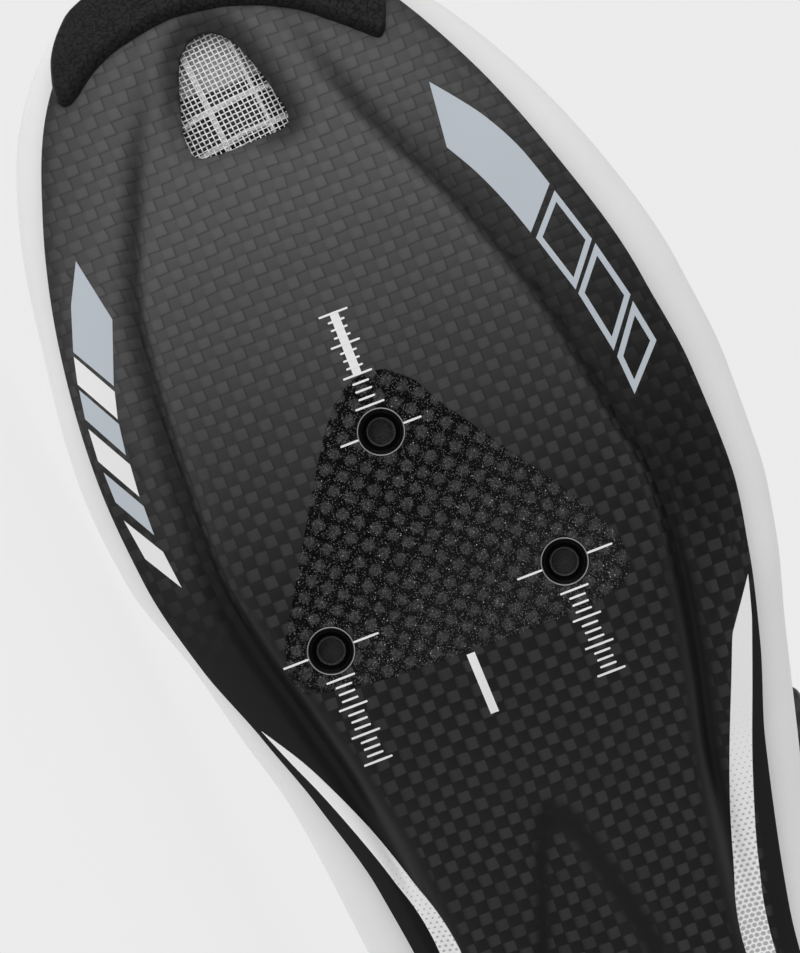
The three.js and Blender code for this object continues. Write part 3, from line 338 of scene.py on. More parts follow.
def sheet(rows, columns, place, **maps):
    """A grid that place(v, u) lays out in shoe millimetres, with a UV map for each of maps."""
    bm = bmesh.new()
    bmesh.ops.create_grid(bm, x_segments=columns, y_segments=rows, size=0.5)
    flat = np.array([vert.co[:2] for vert in bm.verts]) + 0.5
    points = place(flat[:, 1], flat[:, 0])
    for vert, point in zip(bm.verts, points):
        vert.co = point
    for name, values in maps.items():
        layer = bm.loops.layers.uv.new(name)
        pairs = values(flat[:, 1], flat[:, 0], points)
        for face in bm.faces:
            for loop in face.loops:
                loop[layer].uv = pairs[loop.vert.index]
    bmesh.ops.remove_doubles(bm, verts=bm.verts, dist=1e-4)
    bmesh.ops.dissolve_degenerate(bm, dist=1e-5, edges=bm.edges)
    return bm


def face_out(bm, centre):
    """Turns an open sheet's faces away from a point."""
    bmesh.ops.recalc_face_normals(bm, faces=bm.faces)
    bm.normal_update()
    centre = Vector(centre)
    facing = [face.normal.dot(face.calc_center_median() - centre) * face.calc_area() for face in bm.faces]
    if sum(facing) < 0:
        bmesh.ops.reverse_faces(bm, faces=bm.faces)
    return bm


def grow(bm, height):
    """Extrudes a flat form's faces along Z into a closed one."""
    made = bmesh.ops.extrude_face_region(bm, geom=list(bm.faces))
    moved = [item for item in made["geom"] if isinstance(item, bmesh.types.BMVert)]
    bmesh.ops.translate(bm, verts=moved, vec=(0, 0, height))


def join(parts):
    """One bmesh out of several."""
    whole = bmesh.new()
    for part in parts:
        mesh = bpy.data.meshes.new("part")
        part.to_mesh(mesh)
        part.free()
        whole.from_mesh(mesh)
        bpy.data.meshes.remove(mesh)
    return whole


def new_object(name, bm, materials=()):
    """Moves a mesh from the shoe's axes into the row's and makes it an object."""
    bm.transform(TO_ROW)
    for face in bm.faces:
        face.smooth = True
    mesh = bpy.data.meshes.new(name)
    bm.to_mesh(mesh)
    bm.free()
    mesh.set_sharp_from_angle(angle=math.radians(50))
    for material in materials:
        mesh.materials.append(material)
    obj = bpy.data.objects.new(name, mesh)
    bpy.context.scene.collection.objects.link(obj)
    return obj


def modify(obj, kind, apply=False, **settings):
    """Adds a modifier with its settings."""
    modifier = obj.modifiers.new(kind.title(), kind)
    for name, value in settings.items():
        setattr(modifier, name, value)
    if apply:
        bpy.context.view_layer.objects.active = obj
        bpy.ops.object.modifier_apply(modifier=modifier.name)
    return modifier


def seat(obj, slot, *nodes):
    """Gives a piece its place in the frame: its body, and hides the nodes that it replaces. Its slot is not used."""
    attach(obj, "root")
    if nodes:
        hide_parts(*nodes)
    return obj


def cut(obj, cutter):
    """Takes a closed form out of a piece."""
    modify(obj, "BOOLEAN", apply=True, object=cutter, operation="DIFFERENCE", solver="EXACT")
    mesh = cutter.data
    bpy.data.objects.remove(cutter)
    bpy.data.meshes.remove(mesh)


def soften(obj, width, segments=2, angle=35):
    """Rounds the edges sharper than an angle by a width in millimetres."""
    modify(
        obj, "BEVEL", width=width * MM, segments=segments, limit_method="ANGLE",
        angle_limit=math.radians(angle), profile=0.5, material=-1, harden_normals=False,
    )


def upright(outline, low, high):
    """A closed prism over a plan outline."""
    bm = bmesh.new()
    bm.faces.new([bm.verts.new((x, y, low)) for x, y in outline])
    grow(bm, high - low)
    bmesh.ops.recalc_face_normals(bm, faces=bm.faces)
    return bm


def turned(profile, sides):
    """A form spun round Z from a profile of (radius, height) pairs."""
    bm = bmesh.new()
    verts = [bm.verts.new((radius, 0, height)) for radius, height in profile]
    edges = [bm.edges.new(pair) for pair in zip(verts, verts[1:])]
    bmesh.ops.spin(
        bm, geom=verts + edges, axis=(0, 0, 1), cent=(0, 0, 0), steps=sides, angle=2 * math.pi, use_merge=True,
    )
    bmesh.ops.remove_doubles(bm, verts=bm.verts, dist=1e-4)
    bmesh.ops.recalc_face_normals(bm, faces=bm.faces)
    return bm


def capsule(width, length, thickness):
    """A flat bar with round ends along X, standing on Z = 0, cut across so that it can bend."""
    bm = bmesh.new()
    bmesh.ops.create_circle(bm, cap_ends=True, segments=12, radius=width / 2)
    reach = (length - width) / 2
    for vert in bm.verts:
        vert.co.x += reach if vert.co.x > 1e-6 else (-reach if vert.co.x < -1e-6 else 0)
    grow(bm, thickness)
    for x in np.linspace(-reach, reach, 7)[1:-1]:
        geom = list(bm.verts) + list(bm.edges) + list(bm.faces)
        bmesh.ops.bisect_plane(bm, geom=geom, dist=1e-4, plane_co=(x, 0, 0), plane_no=(1, 0, 0))
    bmesh.ops.recalc_face_normals(bm, faces=bm.faces)
    return bm


def print_on_sole(bm):
    """Lays a flat form over the sole: X and Y stay, Z becomes the height over the ground side."""
    flat = np.array([vert.co[:] for vert in bm.verts])
    x, y = flat[:, 0].copy(), flat[:, 1].copy()
    for _ in range(4):
        off = sole_point(y, x)[:, :2] - flat[:, :2]
        x, y = x - off[:, 0], y - off[:, 1]
    for vert, point in zip(bm.verts, on_sole(x, y, flat[:, 2])):
        vert.co = point
    bmesh.ops.recalc_face_normals(bm, faces=bm.faces)
    return bm


def print_strip(left, right, per_side, across, thickness, bend=monotone):
    """A thin print between two lines of (s, t) points: s ahead of the rear bolts, t to the lateral side."""
    knots = np.arange(len(left), dtype=float)

    def place(v, u):
        lines = [np.array(line, float) for line in (left, right)]
        a, b = [np.stack([bend(knots, line[:, k], v * knots[-1]) for k in (0, 1)], -1) for line in lines]
        ahead, aside = (a * (1 - u[:, None]) + b * u[:, None]).T
        return np.stack([-aside, PRINTS_Y + ahead, 0 * u + thickness], -1)

    bm = sheet(per_side * (len(left) - 1), across, place, UVMap=lambda v, u, points: points[:, :2])
    grow(bm, -1.6 * thickness)
    return print_on_sole(bm)


# Materials

def linear(code):
    """An sRGB hex colour as linear red, green, blue and alpha."""
    parts = [int(code[k:k + 2], 16) / 255 for k in (1, 3, 5)]
    return [c / 12.92 if c <= 0.04045 else ((c + 0.055) / 1.055) ** 2.4 for c in parts] + [1]


def add(tree, kind, inputs=(), **settings):
    """Adds a node with its settings, and links or sets its inputs."""
    made = tree.nodes.new("ShaderNode" + kind)
    for name, value in settings.items():
        setattr(made, name, value)
    for key, value in (inputs.items() if isinstance(inputs, dict) else enumerate(inputs)):
        if isinstance(value, bpy.types.Node):
            value = value.outputs[0]
        if isinstance(value, bpy.types.NodeSocket):
            tree.links.new(value, made.inputs[key])
        elif value is not None:
            made.inputs[key].default_value = value
    return made


def remap(tree, value, low, high, start=0.0, end=1.0, smooth=False):
    """A value from low to high becomes one from start to end, held past both."""
    kind = "SMOOTHSTEP" if smooth else "LINEAR"
    return add(tree, "MapRange", [value, low, high, start, end], interpolation_type=kind)


def blend(tree, share, first, second, kind="MIX"):
    """Two colours mixed by a share, as the socket of the mixed colour."""
    mixed = add(tree, "Mix", {0: share, 6: first, 7: second}, data_type="RGBA", blend_type=kind)
    return mixed.outputs[2]


def start_material(name, **shader):
    """A material with one Principled shader; returns the material, its tree and the shader."""
    material = bpy.data.materials.new(name)
    material.use_nodes = True
    tree = material.node_tree
    bsdf = tree.nodes["Principled BSDF"]
    for key, value in shader.items():
        bsdf.inputs[key.replace("_", " ")].default_value = value
    return material, tree, bsdf


def shoe_coordinates(tree):
    """Object coordinates turned into the shoe's own axes, in millimetres."""
    inverse = TO_ROW.inverted()
    return add(
        tree, "Mapping",
        {"Vector": add(tree, "TexCoord").outputs["Object"], "Location": inverse.translation,
         "Rotation": inverse.to_3x3().normalized().to_euler(), "Scale": (1 / MM,) * 3},
    )


def woven_tows(tree):
    """Plain weave on the UV map in millimetres. Returns, by name: where a cross tow lies on top, each cell's inner
    place and chance, how far off the cell's middle a point lies, how clearly the weave shows through the painted shade
    of the slopes, how far painted light pales it under the forefoot, and the tows' relief."""
    look = bpy.context.scene.shoe_finish
    flat = add(tree, "UVMap", uv_map="UVMap")
    drift = add(tree, "TexNoise", {"Vector": flat, "Scale": 0.07, "Detail": 2.0})
    wander = {0: drift.outputs["Color"], 1: (1.7, 1.7, 0), 2: flat}
    place = add(tree, "SeparateXYZ", [add(tree, "VectorMath", wander, operation="MULTIPLY_ADD")])
    u = add(tree, "Math", [place.outputs[0], look.tow_width], operation="DIVIDE")
    v = add(tree, "Math", [place.outputs[1], look.tow_length], operation="DIVIDE")
    column, row = [add(tree, "Math", [value], operation="FLOOR") for value in (u, v)]
    side, rise = [add(tree, "Math", [value], operation="FRACT") for value in (u, v)]
    odd = add(tree, "Math", [add(tree, "Math", [column, row]), 2], operation="FLOORED_MODULO")
    swap = add(tree, "Math", [odd, -2, 1], operation="MULTIPLY_ADD")
    heights = []
    for along, across, crown in ((rise, side, -0.5), (side, rise, 0.5)):
        turn = add(tree, "Math", [along, math.pi], operation="MULTIPLY")
        wave = add(tree, "Math", [add(tree, "Math", [turn], operation="SINE"), crown], operation="MULTIPLY")
        over = add(tree, "Math", [swap, wave], operation="MULTIPLY")
        off = add(tree, "Math", [across, 0.5], operation="SUBTRACT")
        bent = add(tree, "Math", [off, 2], operation="POWER")
        heights.append(add(tree, "Math", [bent, -1.7, over], operation="MULTIPLY_ADD"))
    top = add(tree, "Math", heights, operation="MAXIMUM")
    tone = add(tree, "SeparateXYZ", [add(tree, "UVMap", uv_map="tone")])
    relief = add(tree, "Math", [top, tone.outputs[0]], operation="MULTIPLY")
    inside = add(tree, "CombineXYZ", [side, rise, 0])
    away = add(tree, "VectorMath", {0: inside, 1: (0.48, 0.5, 0)}, operation="SUBTRACT")
    return {
        "cross": add(tree, "Math", [1, odd], operation="SUBTRACT"),
        "chance": add(tree, "TexWhiteNoise", [add(tree, "CombineXYZ", [column, row, 0])]),
        "side": side,
        "rise": rise,
        "off": add(tree, "VectorMath", {0: away}, operation="ABSOLUTE"),
        "clear": tone.outputs[0],
        "pale": tone.outputs[1],
        "bump": add(tree, "Bump", {"Strength": 0.45, "Distance": 0.0003, "Height": relief}),
    }


def laminate_material():
    """Carbon fibre laminate, plain weave of 2.25 mm tows under clear resin: dark satin checks with soft gloss. A
    painted sheen lightens the cross tows, painted light the forefoot, and painted shade the slopes, grooves and vent
    border.
    """
    look = bpy.context.scene.shoe_finish
    material, tree, bsdf = start_material(
        "Carbon_Laminate", Roughness=0.42, Specular_IOR_Level=0.16, Coat_Weight=0.04,
    )
    weave = woven_tows(tree)
    chance, cross = weave["chance"], weave["cross"]
    # A cross tow shows as a square with round corners, paler by a painted sheen, most at the lateral end of its crown.
    beyond = add(tree, "VectorMath", {0: weave["off"], 1: (0.34, 0.34, 0)}, operation="SUBTRACT")
    past = add(tree, "VectorMath", {0: beyond, 1: (0, 0, 0)}, operation="MAXIMUM")
    far = add(tree, "VectorMath", {0: past}, operation="LENGTH").outputs["Value"]
    frayed = add(tree, "Math", [chance, 0.05, far], operation="MULTIPLY_ADD")
    square = add(tree, "Math", [remap(tree, frayed, 0.12, 0.185, 1.0, 0.0), cross], operation="MULTIPLY")
    crown_sheen = remap(tree, weave["side"], 0.55, 1.0, 1.0, 0.45, smooth=True)
    crown = add(tree, "Math", [square, crown_sheen], operation="MULTIPLY")
    share = add(tree, "Math", [crown, remap(tree, chance, 0, 1, 0.72, 1.12)], operation="MULTIPLY")
    tow_dark, cross_tow_sheen, lit_toe_lengthwise, lit_toe_cross, slope_shade_black = [
        list(colour) + [1]
        for colour in (look.tow_dark, look.cross_tow_sheen, look.lit_toe_lengthwise, look.lit_toe_cross, look.slope_shade_black)
    ]
    # Under the toe painted light pales both tows; a thin painted shadow lies at each tow's rear edge and medial end.
    low = remap(tree, weave["rise"], 0, 0.26, 0.56, 1.0, smooth=True)
    end = remap(tree, weave["side"], 0.76, 1.0, 1.0, 0.66, smooth=True)
    tow_edge_shadow = add(tree, "Mix", {0: cross, 2: end, 3: low})
    paler = blend(tree, 1.0, blend(tree, share, lit_toe_lengthwise, lit_toe_cross), tow_edge_shadow, "MULTIPLY")
    # Painted light: the forefoot's paler tows blend in where the tone map's second channel rises.
    tows = blend(tree, weave["pale"], blend(tree, share, tow_dark, cross_tow_sheen), paler)
    # Painted shade: where the weave fades, the slopes turn plain black.
    woven = blend(tree, weave["clear"], slope_shade_black, tows)
    # The shade map darkens the colour as painted shade and lifts it as a painted highlight on the crests.
    depth = add(tree, "SeparateXYZ", [add(tree, "UVMap", uv_map="shade")])
    shaded = blend(tree, 1.0, woven, remap(tree, depth, -0.2, 1.0, 1.25, 0.2), "MULTIPLY")
    tree.links.new(shaded, bsdf.inputs["Base Color"])
    tree.links.new(weave["bump"].outputs[0], bsdf.inputs["Normal"])
    return material


def gritted_material():
    """Mineral grit in clear binder over the laminate: fine grey grains on each cross tow, black grains between them
    and a few pale sparks, which are painted glints. Matt, like fine sandpaper."""
    material, tree, bsdf = start_material(
        "Gritted_Laminate", Roughness=0.75, Specular_IOR_Level=0.08, Coat_Weight=0.0,
    )
    weave = woven_tows(tree)
    off = add(tree, "VectorMath", {0: weave["off"]}, operation="LENGTH").outputs["Value"]
    blob = add(tree, "Math", [remap(tree, off, 0.26, 0.66, 1.0, 0.0), weave["cross"]], operation="MULTIPLY")
    place = shoe_coordinates(tree)
    grains = add(tree, "TexVoronoi", {"Vector": place, "Scale": 4.0})
    chance = add(tree, "SeparateColor", [grains.outputs["Color"]])
    # The black grains thin out toward the patch's rear lateral corner.
    split = add(tree, "SeparateXYZ", [place])
    aside = add(tree, "Math", [split.outputs[0], 0.55, split.outputs[1]], operation="MULTIPLY_ADD")
    rear = remap(tree, aside, 156, 186, 1.0, 0.0)
    between = blend(tree, rear, linear("#040404"), linear("#1a1a1a"))
    edge = add(tree, "Math", [blob, remap(tree, chance, 0, 1, -0.42, 0.42)])
    ground = blend(tree, remap(tree, edge, 0.2, 0.75), between, linear("#3b3b3b"))
    grained = blend(tree, 1.0, ground, remap(tree, chance.outputs[1], 0, 1, 0.5, 1.5), "MULTIPLY")
    small = add(tree, "Math", [grains.outputs["Distance"], 0.38], operation="LESS_THAN")
    speck = remap(tree, chance.outputs[2], 0.72, 1.0, 0.0, 0.75)
    dust = add(tree, "Math", [speck, small], operation="MULTIPLY")
    dusted = blend(tree, dust, grained, linear("#848484"))
    # Painted glints: a few grains turn pale, more toward the patch's rear lateral corner.
    rarity = remap(tree, rear, 0, 1, 0.992, 0.965)
    spark = add(tree, "Math", [chance.outputs[1], rarity], operation="GREATER_THAN")
    glint = add(tree, "Math", [spark, small], operation="MULTIPLY")
    dimmed = add(tree, "Math", [glint, remap(tree, chance, 0, 1, 0.15, 1.0)], operation="MULTIPLY")
    rough = {"Strength": 0.7, "Distance": 0.00012, "Height": chance, "Normal": weave["bump"]}
    tree.links.new(blend(tree, dimmed, dusted, linear("#c4c4c4")), bsdf.inputs["Base Color"])
    tree.links.new(add(tree, "Bump", rough).outputs[0], bsdf.inputs["Normal"])
    return material


def plain_material(name, colour, roughness, grain=0.0, scale=1.0, depth=0.1, **shader):
    """A moulded or coated finish: one colour a little uneven, with a fine grain."""
    material, tree, bsdf = start_material(name, Roughness=roughness, **shader)
    place = shoe_coordinates(tree)
    patches = add(tree, "TexNoise", {"Vector": place, "Scale": 0.06, "Detail": 3.0})
    base = linear(colour)
    darker = [0.93 * c for c in base[:3]] + [1]
    tree.links.new(blend(tree, patches, darker, base), bsdf.inputs["Base Color"])
    if grain:
        fine = add(tree, "TexNoise", {"Vector": place, "Scale": scale, "Detail": 4.0, "Roughness": 0.6})
        bump = add(tree, "Bump", {"Strength": grain, "Distance": depth * MM, "Height": fine.outputs[0]})
        tree.links.new(bump.outputs[0], bsdf.inputs["Normal"])
    return material


def rubber_material():
    """Black injected rubber with a pebble grain of about 1 mm, like hide: dull, with painted shade in its thin
    creases.
    """
    look = bpy.context.scene.shoe_finish
    material, tree, bsdf = start_material("Pebbled_Rubber", Roughness=0.55, Specular_IOR_Level=0.16)
    place = shoe_coordinates(tree)
    bend = add(tree, "TexNoise", {"Vector": place, "Scale": 0.9, "Detail": 2.0})
    pulled = add(tree, "VectorMath", {0: bend.outputs["Color"], 3: 1.6}, operation="SCALE")
    bent = add(tree, "VectorMath", {0: place, 1: pulled}, operation="ADD")
    cells = add(tree, "TexVoronoi", {"Vector": bent, "Scale": 1 / look.pebble}, feature="DISTANCE_TO_EDGE")
    broken = add(tree, "TexNoise", {"Vector": place, "Scale": 1.3, "Detail": 2.0})
    reach = remap(tree, broken, 0.42, 0.58, 0.02, 0.16)
    dome = add(tree, "Math", [cells, reach], operation="DIVIDE", use_clamp=True)
    fine = add(tree, "TexNoise", {"Vector": place, "Scale": 5.0, "Detail": 2.0})
    height = add(tree, "Math", [fine, 0.12, dome], operation="MULTIPLY_ADD")
    bump = add(tree, "Bump", {"Strength": 0.7, "Distance": 0.00022, "Height": height})
    # Painted shade: the colour darkens toward each crease between the pebbles.
    tree.links.new(blend(tree, dome, linear("#050505"), linear("#1d1d1d")), bsdf.inputs["Base Color"])
    tree.links.new(bump.outputs[0], bsdf.inputs["Normal"])
    return material


class ShoeFinish(bpy.types.PropertyGroup):
    """The sizes and colours of the shoe's finishes"""
    tow_width: FloatProperty(
        name="Tow width", description="Spacing of the tows across the shoe, in mm", default=2.25,
    )
    tow_length: FloatProperty(
        name="Tow length", description="Spacing of the tows along the shoe, in mm", default=2.15,
    )
    tow_dark: FloatVectorProperty(
        name="Lengthwise tows", description="Colour of the tows that run to the toe", subtype="COLOR",
        default=linear("#161616")[:3],
    )
    # The cross tows' paler colour is a painted sheen.
    cross_tow_sheen: FloatVectorProperty(
        name="Cross tows", description="Colour of the tows that run across", subtype="COLOR",
        default=linear("#323232")[:3],
    )
    # Under the toe both tows hold painted light, and the cross tows a painted sheen.
    lit_toe_lengthwise: FloatVectorProperty(
        name="Lengthwise tows, forefoot", description="Colour of the tows that run to the toe, under the toe",
        subtype="COLOR", default=linear("#4d4d4d")[:3],
    )
    lit_toe_cross: FloatVectorProperty(
        name="Cross tows, forefoot", description="Colour of the tows that run across, under the toe",
        subtype="COLOR", default=linear("#565656")[:3],
    )
    # The slopes' plain black is painted shade.
    slope_shade_black: FloatVectorProperty(
        name="Plain slopes", description="Colour of the resin where no weave shows", subtype="COLOR",
        default=linear("#121212")[:3],
    )
    pebble: FloatProperty(name="Pebble", description="Size of the rubber's grain, in mm", default=1.15)
    wire_pitch: FloatProperty(
        name="Wire pitch", description="Spacing of the screen's wires, in mm", default=0.93,
    )
    wire_width: FloatProperty(name="Wire", description="Diameter of the screen's wires, in mm", default=0.25)


# The outsole

def sole_rows(v):
    """Rows close together under the forefoot and round at both ends."""
    start, end = SOLE_HEEL_INSET, LENGTH - SOLE_TOE_INSET
    even = np.interp(v, [0, 0.06, 0.30, 0.94, 1], [0, 0.06, 0.36, 0.95, 1])
    round_ends = (1 - np.cos(np.pi * even)) / 2
    mixed = 0.45 * even + 0.55 * round_ends
    return start + (end - start) * mixed


def sole_across(y, u):
    """Columns closer together toward both edges."""
    share = 2 * u - 1
    share = 1.45 * share - 0.45 * share**3
    half = np.where(share > 0, sole_half(y, 1), sole_half(y, -1))
    return table("axis", y) * BALL + share * half


def place_sole(v, u):
    y = sole_rows(v)
    return sole_point(y, sole_across(y, u))


def weave_uv(v, u, points):
    """Across: the arc length from the shoe's axis line; along: the length of the shoe."""
    length = np.zeros(len(u))
    last = place_sole(v, 0 * u + 0.5)
    for share in np.linspace(0, 1, 13)[1:]:
        point = place_sole(v, 0.5 + (u - 0.5) * share)
        length += np.linalg.norm(point - last, axis=1)
        last = point
    return np.stack([np.sign(u - 0.5) * length, sole_rows(v)], -1)


def over_sole(values):
    """A UV map of the sole's sheet from a function of x and y."""
    def pairs(v, u, points):
        y = sole_rows(v)
        return values(sole_across(y, u), y)
    return pairs


def tone_at(x, y):
    """How clearly the weave shows, where painted shade turns slopes plain black, and how far painted light pales
    its two tows under the forefoot.
    """
    medial, out, edge = across_sole(x, y)
    beyond, rim, within = beyond_deck(x, y), edge - out, relief_share(x, y)
    # Painted shade: no weave shows on the grooves' sides behind the ball, on the medial slope, on the lateral rim and
    # on the arch hollow's sides, which turn plain black.
    slope = ease(-1.2, 0.2, beyond) * (1 - ease(3.6, 5.0, beyond)) * (1 - ease(150, 175, y))
    inner = medial * ease(-1.2, 0.4, beyond) * (1 - ease(168, 196, y))
    outer = (1 - medial) * (1 - ease(2.6, 3.6, rim)) * (1 - ease(145, 160, y))
    hollow = np.clip(1.6 - np.abs(2 * within - 1) * 1.8, 0, 1) * (within > 0.02)
    woven = (1 - np.maximum(slope, hollow)) * (1 - np.maximum(inner, outer))
    # Painted light: the tows pale toward the toe, a little less near the rim.
    lift = ease(168, 250, y) * (1 - 0.35 * (1 - ease(0, 12, rim)))
    return np.stack([woven, lift], -1)


def painted_shade_at(x, y):
    """How deep the painted shade is, up to 1 in the grooves and round the vent, with a 0 to fill the UV map's pair."""
    medial, out, edge = across_sole(x, y)
    beyond, within = beyond_deck(x, y), relief_share(x, y)
    # A painted highlight makes the crest beside a groove a little paler than the deck, so it counts below 0.
    trough = np.exp(-(((beyond - 2.9) / 1.8) ** 2)) - 0.16 * np.exp(-(((beyond + 0.8) / 1.3) ** 2))
    trough *= np.minimum(1.7 * table("raised", y), 1)
    # Painted shade round the vent's sunken border, strongest at its front and its lateral side.
    border = np.where(near_vent(y), 1 - ease(0.2, 5.2, convex_distance(VENT_EDGE, x, y)), 0)
    border *= 0.25 + 0.75 * np.maximum(ease(258, 268, y), ease(0, 6, 4 - x))
    # Painted shade on the lateral slope, the medial slope, the forefoot's rim and the arch hollow's sides.
    band = (1 - medial) * ease(1.5, 5.0, beyond) * ease(150, 175, y) * (1 - ease(226, 262, y))
    inner = medial * ease(6, 14, beyond) * ease(165, 185, y) * (1 - ease(200, 232, y))
    rim = (1 - ease(0.3, 3.0, edge - out)) * ease(200, 240, y)
    hollow = np.clip(1.5 - np.abs(2 * within - 0.8) * 1.9, 0, 1) * (within > 0.02)
    widest = np.maximum.reduce([0.6 * hollow, 0.72 * band, 0.5 * inner, 0.5 * rim])
    deep = np.where(beyond < 1.2, trough, np.maximum(trough, 0))
    deep = np.where(deep < 0, deep, np.maximum(0.95 * deep, widest))
    return np.stack([np.maximum(deep, 0.95 * border), 0 * deep], -1)


def bolt_cutter(radius):
    """Three short cylinders at the bolt places, as one object."""
    parts = []
    for _, x, y in BOLTS:
        bm = bmesh.new()
        bmesh.ops.create_cone(bm, cap_ends=True, segments=64, radius1=radius, radius2=radius, depth=12)
        bmesh.ops.translate(bm, verts=bm.verts, vec=(x, y, 0))
        parts.append(bm)
    return new_object("bolt_cutter", join(parts))


SOLE_WALL = 2.3


class SHOE_OT_outsole(bpy.types.Operator):
    """Model the outsole with its deck, grooves, arch hollow, vent opening and bolt holes"""
    bl_idname = "shoe.outsole"
    bl_label = "Outsole"

    def execute(self, context):
        maps = {"UVMap": weave_uv, "tone": over_sole(tone_at), "shade": over_sole(painted_shade_at)}
        bm = face_out(sheet(230, 116, place_sole, **maps), (0, 150, 70))
        sole = new_object("outsole_plate", bm, [laminate_material()])
        modify(sole, "SOLIDIFY", apply=True, thickness=SOLE_WALL * MM, offset=-1)
        cut(sole, new_object("vent_cutter", upright(VENT_EDGE, -8, 40)))
        cut(sole, bolt_cutter(4.25))
        seat(sole, "outsole", "outsole")
        return {"FINISHED"}


# Prints on the sole, each between a left and a right line

STRIPES_GREY = (
    ([(79.8, -39.3), (72.7, -42.9), (65, -45.4)], [(79.8, -39.3), (67.8, -36.9), (56.8, -40.8)]),
    ([(58.4, -46.8), (53.2, -47.6)], [(50.2, -42.3), (44.7, -43.1)]),
    ([(43.3, -47.9), (37.7, -47.8)], [(35.3, -43.4), (29.9, -43.5)]),
    ([(87, 29.9), (78, 36.7), (70.1, 40.7), (62.6, 43.1)],
     [(75, 28.6), (69.2, 31.8), (62.1, 34.8), (55.7, 36.9)]),
)
STRIPES_WHITE = (
    ([(64.2, -45.6), (59.4, -46.7)], [(55.8, -41), (51.1, -42.2)]),
    ([(51.4, -47.7), (45.5, -48.1)], [(42.9, -43), (37.1, -43.5)]),
    ([(34.2, -47.6), (26.6, -46.5)], [(26.6, -43.1), (19.6, -42.3)]),
)
OUTLINED_BLOCKS = (
    ((61.2, 43.5), (50.9, 46.5), (43.6, 40.6), (54.5, 37.4)),
    ((50, 46.8), (39.4, 49.3), (31.3, 43), (42.8, 40.8)),
    ((38.2, 49.3), (30.3, 50.7), (22.9, 43.7), (30.1, 43.2)),
)
WEDGES = (
    ([(-13.7, 51.1), (-21.0, 49.1), (-23.0, 48.4), (-31.6, 45.3), (-47.1, 39.7), (-62.2, 35.2), (-75.2, 32.6),
      (-116, 30.4)],
     [(-13.7, 51.1), (-21.3, 45.7), (-22.3, 45.0), (-30.2, 41.8), (-45.7, 35.8), (-60.6, 31.0), (-73.3, 27.6),
      (-116, 25.4)]),
    ([(-8.9, -38.3), (-15.9, -35.5), (-22.6, -32.7), (-32.3, -29.2), (-41.8, -26.3), (-54.1, -23.5),
      (-116, -21.5)],
     [(-8.9, -38.3), (-16.7, -33.4), (-23.6, -30.1), (-33.4, -26.2), (-43, -23.2), (-55.4, -19.9),
      (-116, -17)]),
)
LINE_WIDTH = 1.0
PRINT_THICKNESS, WEDGE_THICKNESS, BAR_THICKNESS = 0.08, 0.1, 0.05
TICK_WIDTH, TICK_THICKNESS, TICKS = 0.4, 0.13, 13


def inset_corners(corners, width):
    """The corners of a shape moved inward, each side by a width."""
    corners = np.array(corners, float)
    turn = np.sign(np.cross(corners[1] - corners[0], corners[2] - corners[1]))
    lines = []
    for a, b in zip(corners, np.roll(corners, -1, axis=0)):
        along = (b - a) / np.hypot(*(b - a))
        inward = turn * np.array([-along[1], along[0]])
        lines.append((a + inward * width, along))
    moved = []
    for (p, d), (q, e) in zip(lines[-1:] + lines[:-1], lines):
        t = np.cross(q - p, e) / np.cross(d, e)
        moved.append(p + d * t)
    return np.array(moved)


def tick(length, x, y):
    """One tick across the sole, thick enough to lie over the grit."""
    bm = capsule(TICK_WIDTH, length, TICK_THICKNESS)
    bmesh.ops.translate(bm, verts=bm.verts, vec=(x, y, -0.02))
    return print_on_sole(bm)


def bar(rear, front, width):
    """A bar along the sole, from the (s, t) of its left side's two ends."""
    right = [(s, t + width) for s, t in (rear, front)]
    return print_strip([rear, front], right, 16, 2, BAR_THICKNESS)


def cleat_scales():
    """Tick scales behind the rear bolts and ahead of the front one, with a line at each side of each bolt."""
    parts = []
    for name, x, y in BOLTS:
        reach = 3.4 if name == "insert_front" else 4.7
        for side in (1, -1):
            parts.append(tick(reach, x + side * (4.15 + reach / 2), y))
    for _, x, y in BOLTS[1:]:
        for k in range(TICKS):
            parts.append(tick(5.3 if k % 4 == 0 else 3.05, x + 0.15 - 0.08 * k, y - 5.1 - 1.31 * k))
    _, x, y = BOLTS[0]
    for k in range(TICKS):
        parts.append(tick(5.4 if k % 4 == 0 else 3.1, x + 0.15 + 0.02 * k, y + 5.0 + 1.44 * k))
    ahead = y + 5.0 - PRINTS_Y
    parts.append(bar((ahead + 5.8, -1.0), (ahead + 17.3, -1.1), 1.55))
    parts.append(bar((-20.2, 0.3), (-9, 0.0), 1.5))
    return join(parts)


def ink_material(name, colour):
    """Screen-printed ink under the clear coat: even colour, satin, a faint show of the weave's relief."""
    return plain_material(name, colour, 0.5, grain=0.15, scale=2.5, depth=0.05, Specular_IOR_Level=0.3)


